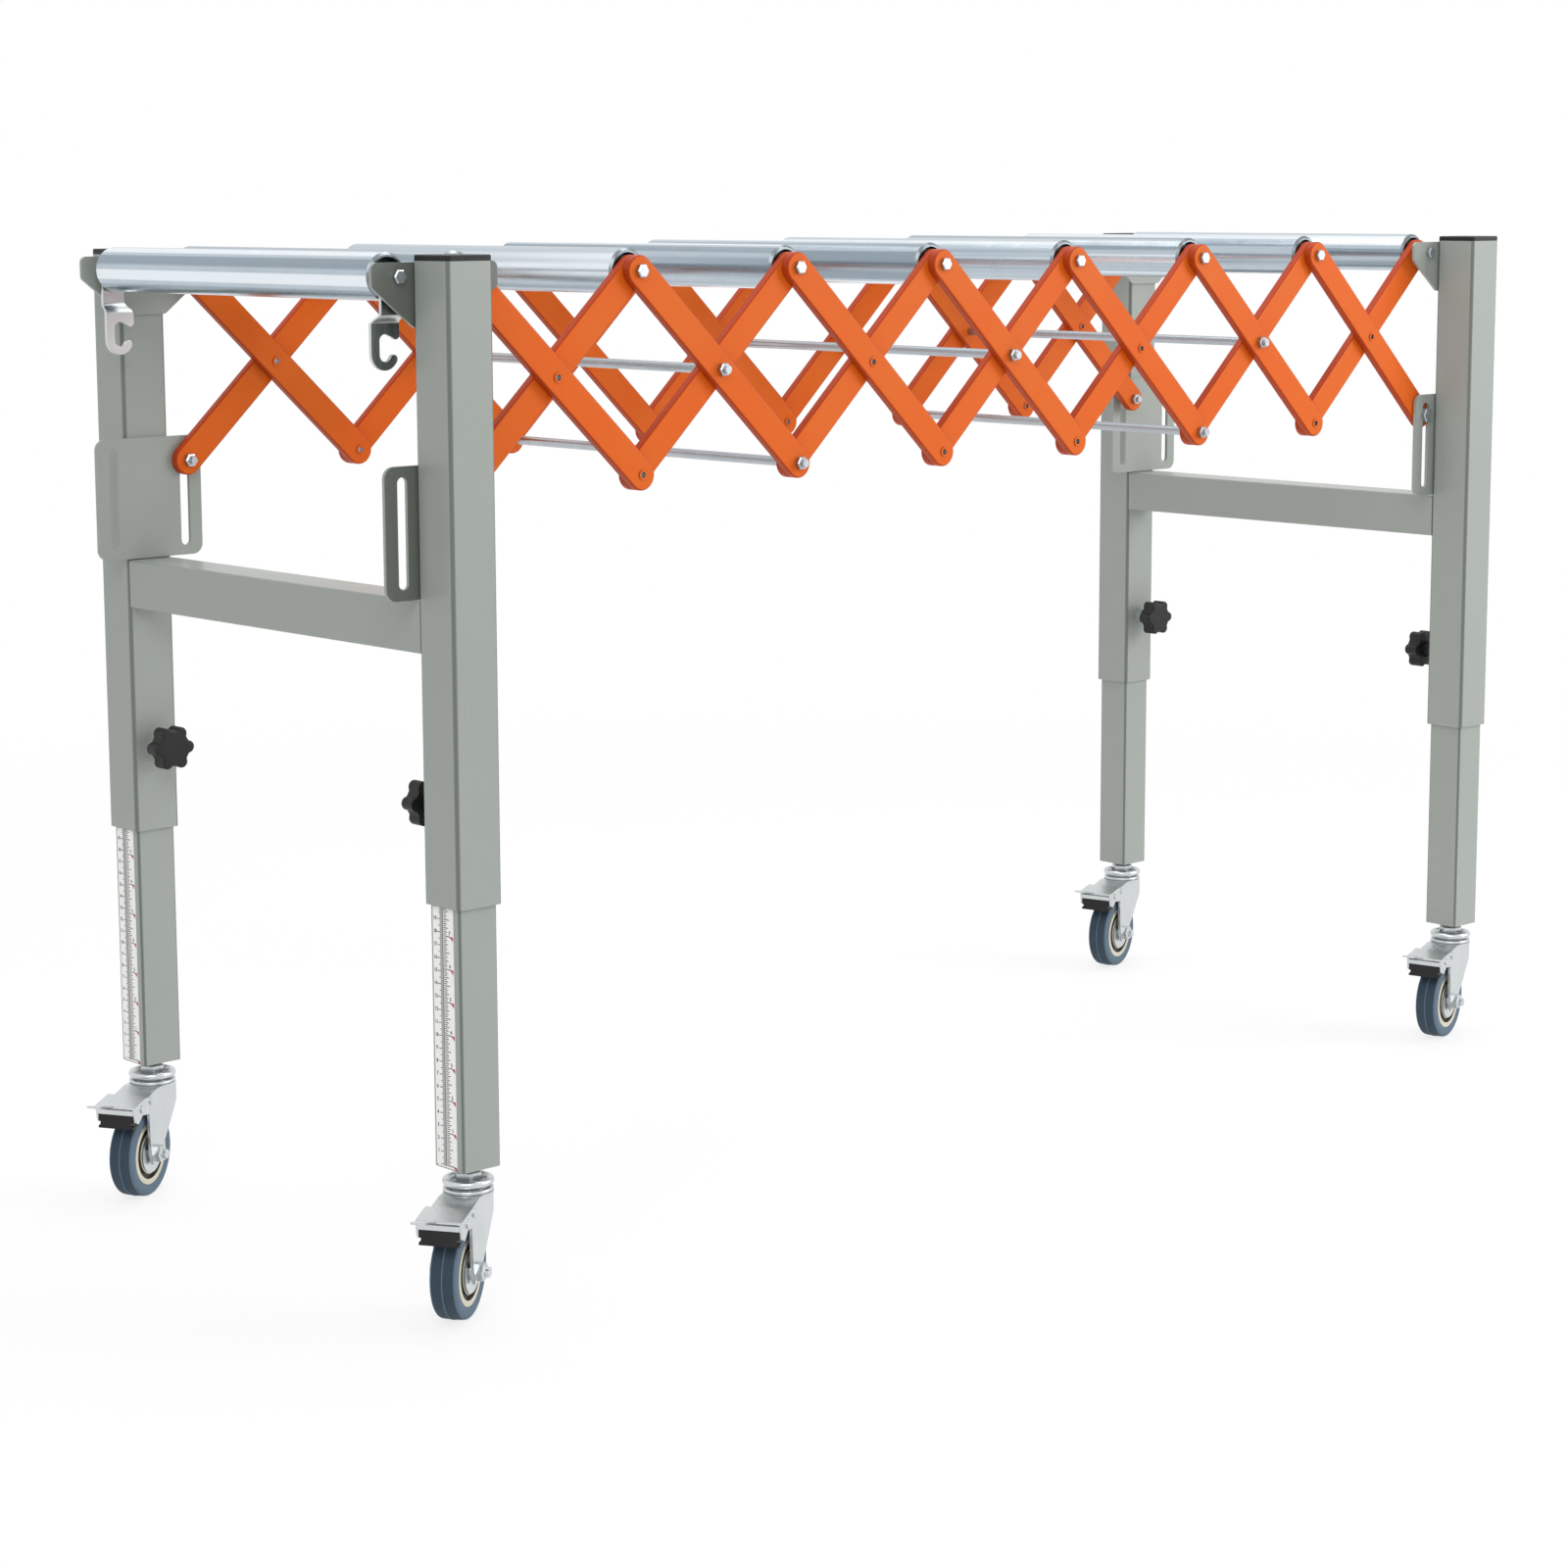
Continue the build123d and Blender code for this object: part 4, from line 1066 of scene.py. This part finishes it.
def rodTips():
    # How far the rod at the second down arm's middle reaches, measured on its own faces
    x, z = firstPivot.x + 3 * halfPitch, firstPivot.z - halfDrop
    corners = faceCorners(nodes["down_arm_2"].data).reshape(-1, 3)
    near = corners[np.hypot(corners[:, 0] - x, corners[:, 2] - z) < pivotSizes["rodReach"]]
    return near[:, 1].min(), near[:, 1].max()


rodLow, rodHigh = rodTips()
rodFront = rodLow + threadSizes["tip"]
rodBack = rodHigh - threadSizes["tip"] - threadSizes["step"] * (threadSizes["turns"] - 1)
threads = threadTree()
for index in range(1, cellCount + 1):
    points = threadPoints(index)
    if points:
        mesh = threads.grow(pointMesh("threadStarts", points))
        mesh.transform(toMetres)
        meshPiece(f"down_arm_{index}_threads", mesh, f"down_arm_{index}", None)
print("stage: threads made")


# Studio: a pale floor that fades into the white backdrop, and soft lamps
studioSizes = {
    "floorRadius": 14.0,
    "fadeStart": 0.9,
    "fadeEnd": 2.6,
    "roomLight": 0.57,
    "floorClear": 0.8,
}


def cameraSeen(sheet):
    # One for rays that see the backdrop itself or its mirror image
    path = sheet.tree.nodes.new("ShaderNodeLightPath")
    seen = Wire(sheet, path.outputs["Is Camera Ray"])
    seen = seen.sum("MAXIMUM", seen, Wire(sheet, path.outputs["Is Glossy Ray"]))
    return seen.sum("MAXIMUM", seen, Wire(sheet, path.outputs["Is Transmission Ray"]))


def makeFloor():
    mesh = bpy.data.meshes.new("floor")
    shape = bmesh.new()
    bmesh.ops.create_circle(shape, cap_ends=True, segments=96, radius=studioSizes["floorRadius"])
    shape.to_mesh(mesh)
    shape.free()
    floor = bpy.data.objects.new("floor", mesh)
    bpy.context.scene.collection.objects.link(floor)
    paper = Finish("paperFloor")
    paper.set(Base_Color=(0.9, 0.9, 0.9), Roughness=0.95, Specular_IOR_Level=0.0)
    # The white room shows through the floor, and so do casters on legs that are drawn out below it
    clear = paper.add("ShaderNodeBsdfTransparent", {}, {})
    through = cameraSeen(paper) * studioSizes["floorClear"]
    opaque = Wire(paper, paper.shader.outputs[0])
    lit = paper.add("ShaderNodeMixShader", {}, {0: through, 1: opaque, 2: clear})
    away = paper.add("ShaderNodeVectorMath", {"operation": "LENGTH"}, {0: paper.place}, "Value")
    fade = paper.add(
        "ShaderNodeMapRange", {"interpolation_type": "SMOOTHSTEP"},
        {"Value": away, "From Min": studioSizes["fadeStart"], "From Max": studioSizes["fadeEnd"]},
    )
    end = paper.add("ShaderNodeMixShader", {}, {0: fade, 1: lit, 2: clear})
    paper.tree.links.new(end.socket, paper.tree.nodes["Material Output"].inputs["Surface"])
    mesh.materials.append(paper.material)


def makeWorld():
    world = bpy.data.worlds.new("studio")
    world.use_nodes = True
    bpy.context.scene.world = world
    sky = NodeSheet(world.node_tree)
    room, white = (
        sky.add("ShaderNodeBackground", {}, {"Color": (1.0, 1.0, 1.0), "Strength": strength})
        for strength in (studioSizes["roomLight"], 1.0)
    )
    both = sky.add("ShaderNodeMixShader", {}, {0: cameraSeen(sky), 1: room, 2: white})
    world.node_tree.links.new(both.socket, world.node_tree.nodes["World Output"].inputs["Surface"])


def softLamp(name, place, aim, width, height, watts):
    light = bpy.data.lights.new(name, "AREA")
    light.shape = "RECTANGLE"
    light.size, light.size_y, light.energy = width, height, watts
    lamp = bpy.data.objects.new(name, light)
    bpy.context.scene.collection.objects.link(lamp)
    lamp.location = place
    lamp.rotation_euler = (Vector(aim) - Vector(place)).to_track_quat("-Z", "Y").to_euler()


makeFloor()
makeWorld()
softLamp("keyLamp", (-3.0, -2.6, 3.2), aim=(0.0, 0.0, 0.4), width=2.6, height=2.0, watts=52)
softLamp("topLamp", (0.3, 0.4, 3.4), aim=(0.0, 0.0, 0.5), width=3.0, height=1.6, watts=60)
softLamp("sideLamp", (2.6, -2.6, 1.7), aim=(0.4, 0.0, 0.4), width=1.8, height=1.8, watts=62)

# Camera, fitted to the photograph's own points: focal length and centre row in pixels of its frame
cameraSizes = {
    "focal": 3445.05,
    "picture": 1600.0,
    "centreRow": 700.0,
    "yaw": 43.0002,
    "pitch": 8.3018,
    "roll": -0.1732,
    "place": (-2.133322, -2.190566, 0.842992),
    "sensor": 36.0,
    "farEnd": 60.0,
}


def makeCamera():
    s = cameraSizes
    yaw, pitch, roll = (math.radians(s[key]) for key in ("yaw", "pitch", "roll"))
    ahead = Vector((math.sin(yaw) * math.cos(pitch), math.cos(yaw) * math.cos(pitch), -math.sin(pitch)))
    right = Vector((math.cos(yaw), -math.sin(yaw), 0))
    up = right.cross(ahead)
    rightTurned = right * math.cos(roll) + up * math.sin(roll)
    upTurned = up * math.cos(roll) - right * math.sin(roll)
    lens = bpy.data.cameras.new("camera")
    lens.sensor_fit = "HORIZONTAL"
    lens.sensor_width = s["sensor"]
    lens.lens = s["focal"] / s["picture"] * s["sensor"]
    lens.shift_y = (s["centreRow"] - s["picture"] / 2) / s["picture"]
    lens.clip_end = s["farEnd"]
    camera = bpy.data.objects.new("camera", lens)
    bpy.context.scene.collection.objects.link(camera)
    axes = zip(rightTurned, upTurned, -ahead, s["place"])
    camera.matrix_world = Matrix([tuple(row) for row in axes] + [(0, 0, 0, 1)])
    bpy.context.scene.camera = camera


makeCamera()
bpy.context.scene.view_settings.view_transform = "Standard"
print("stage: studio made")
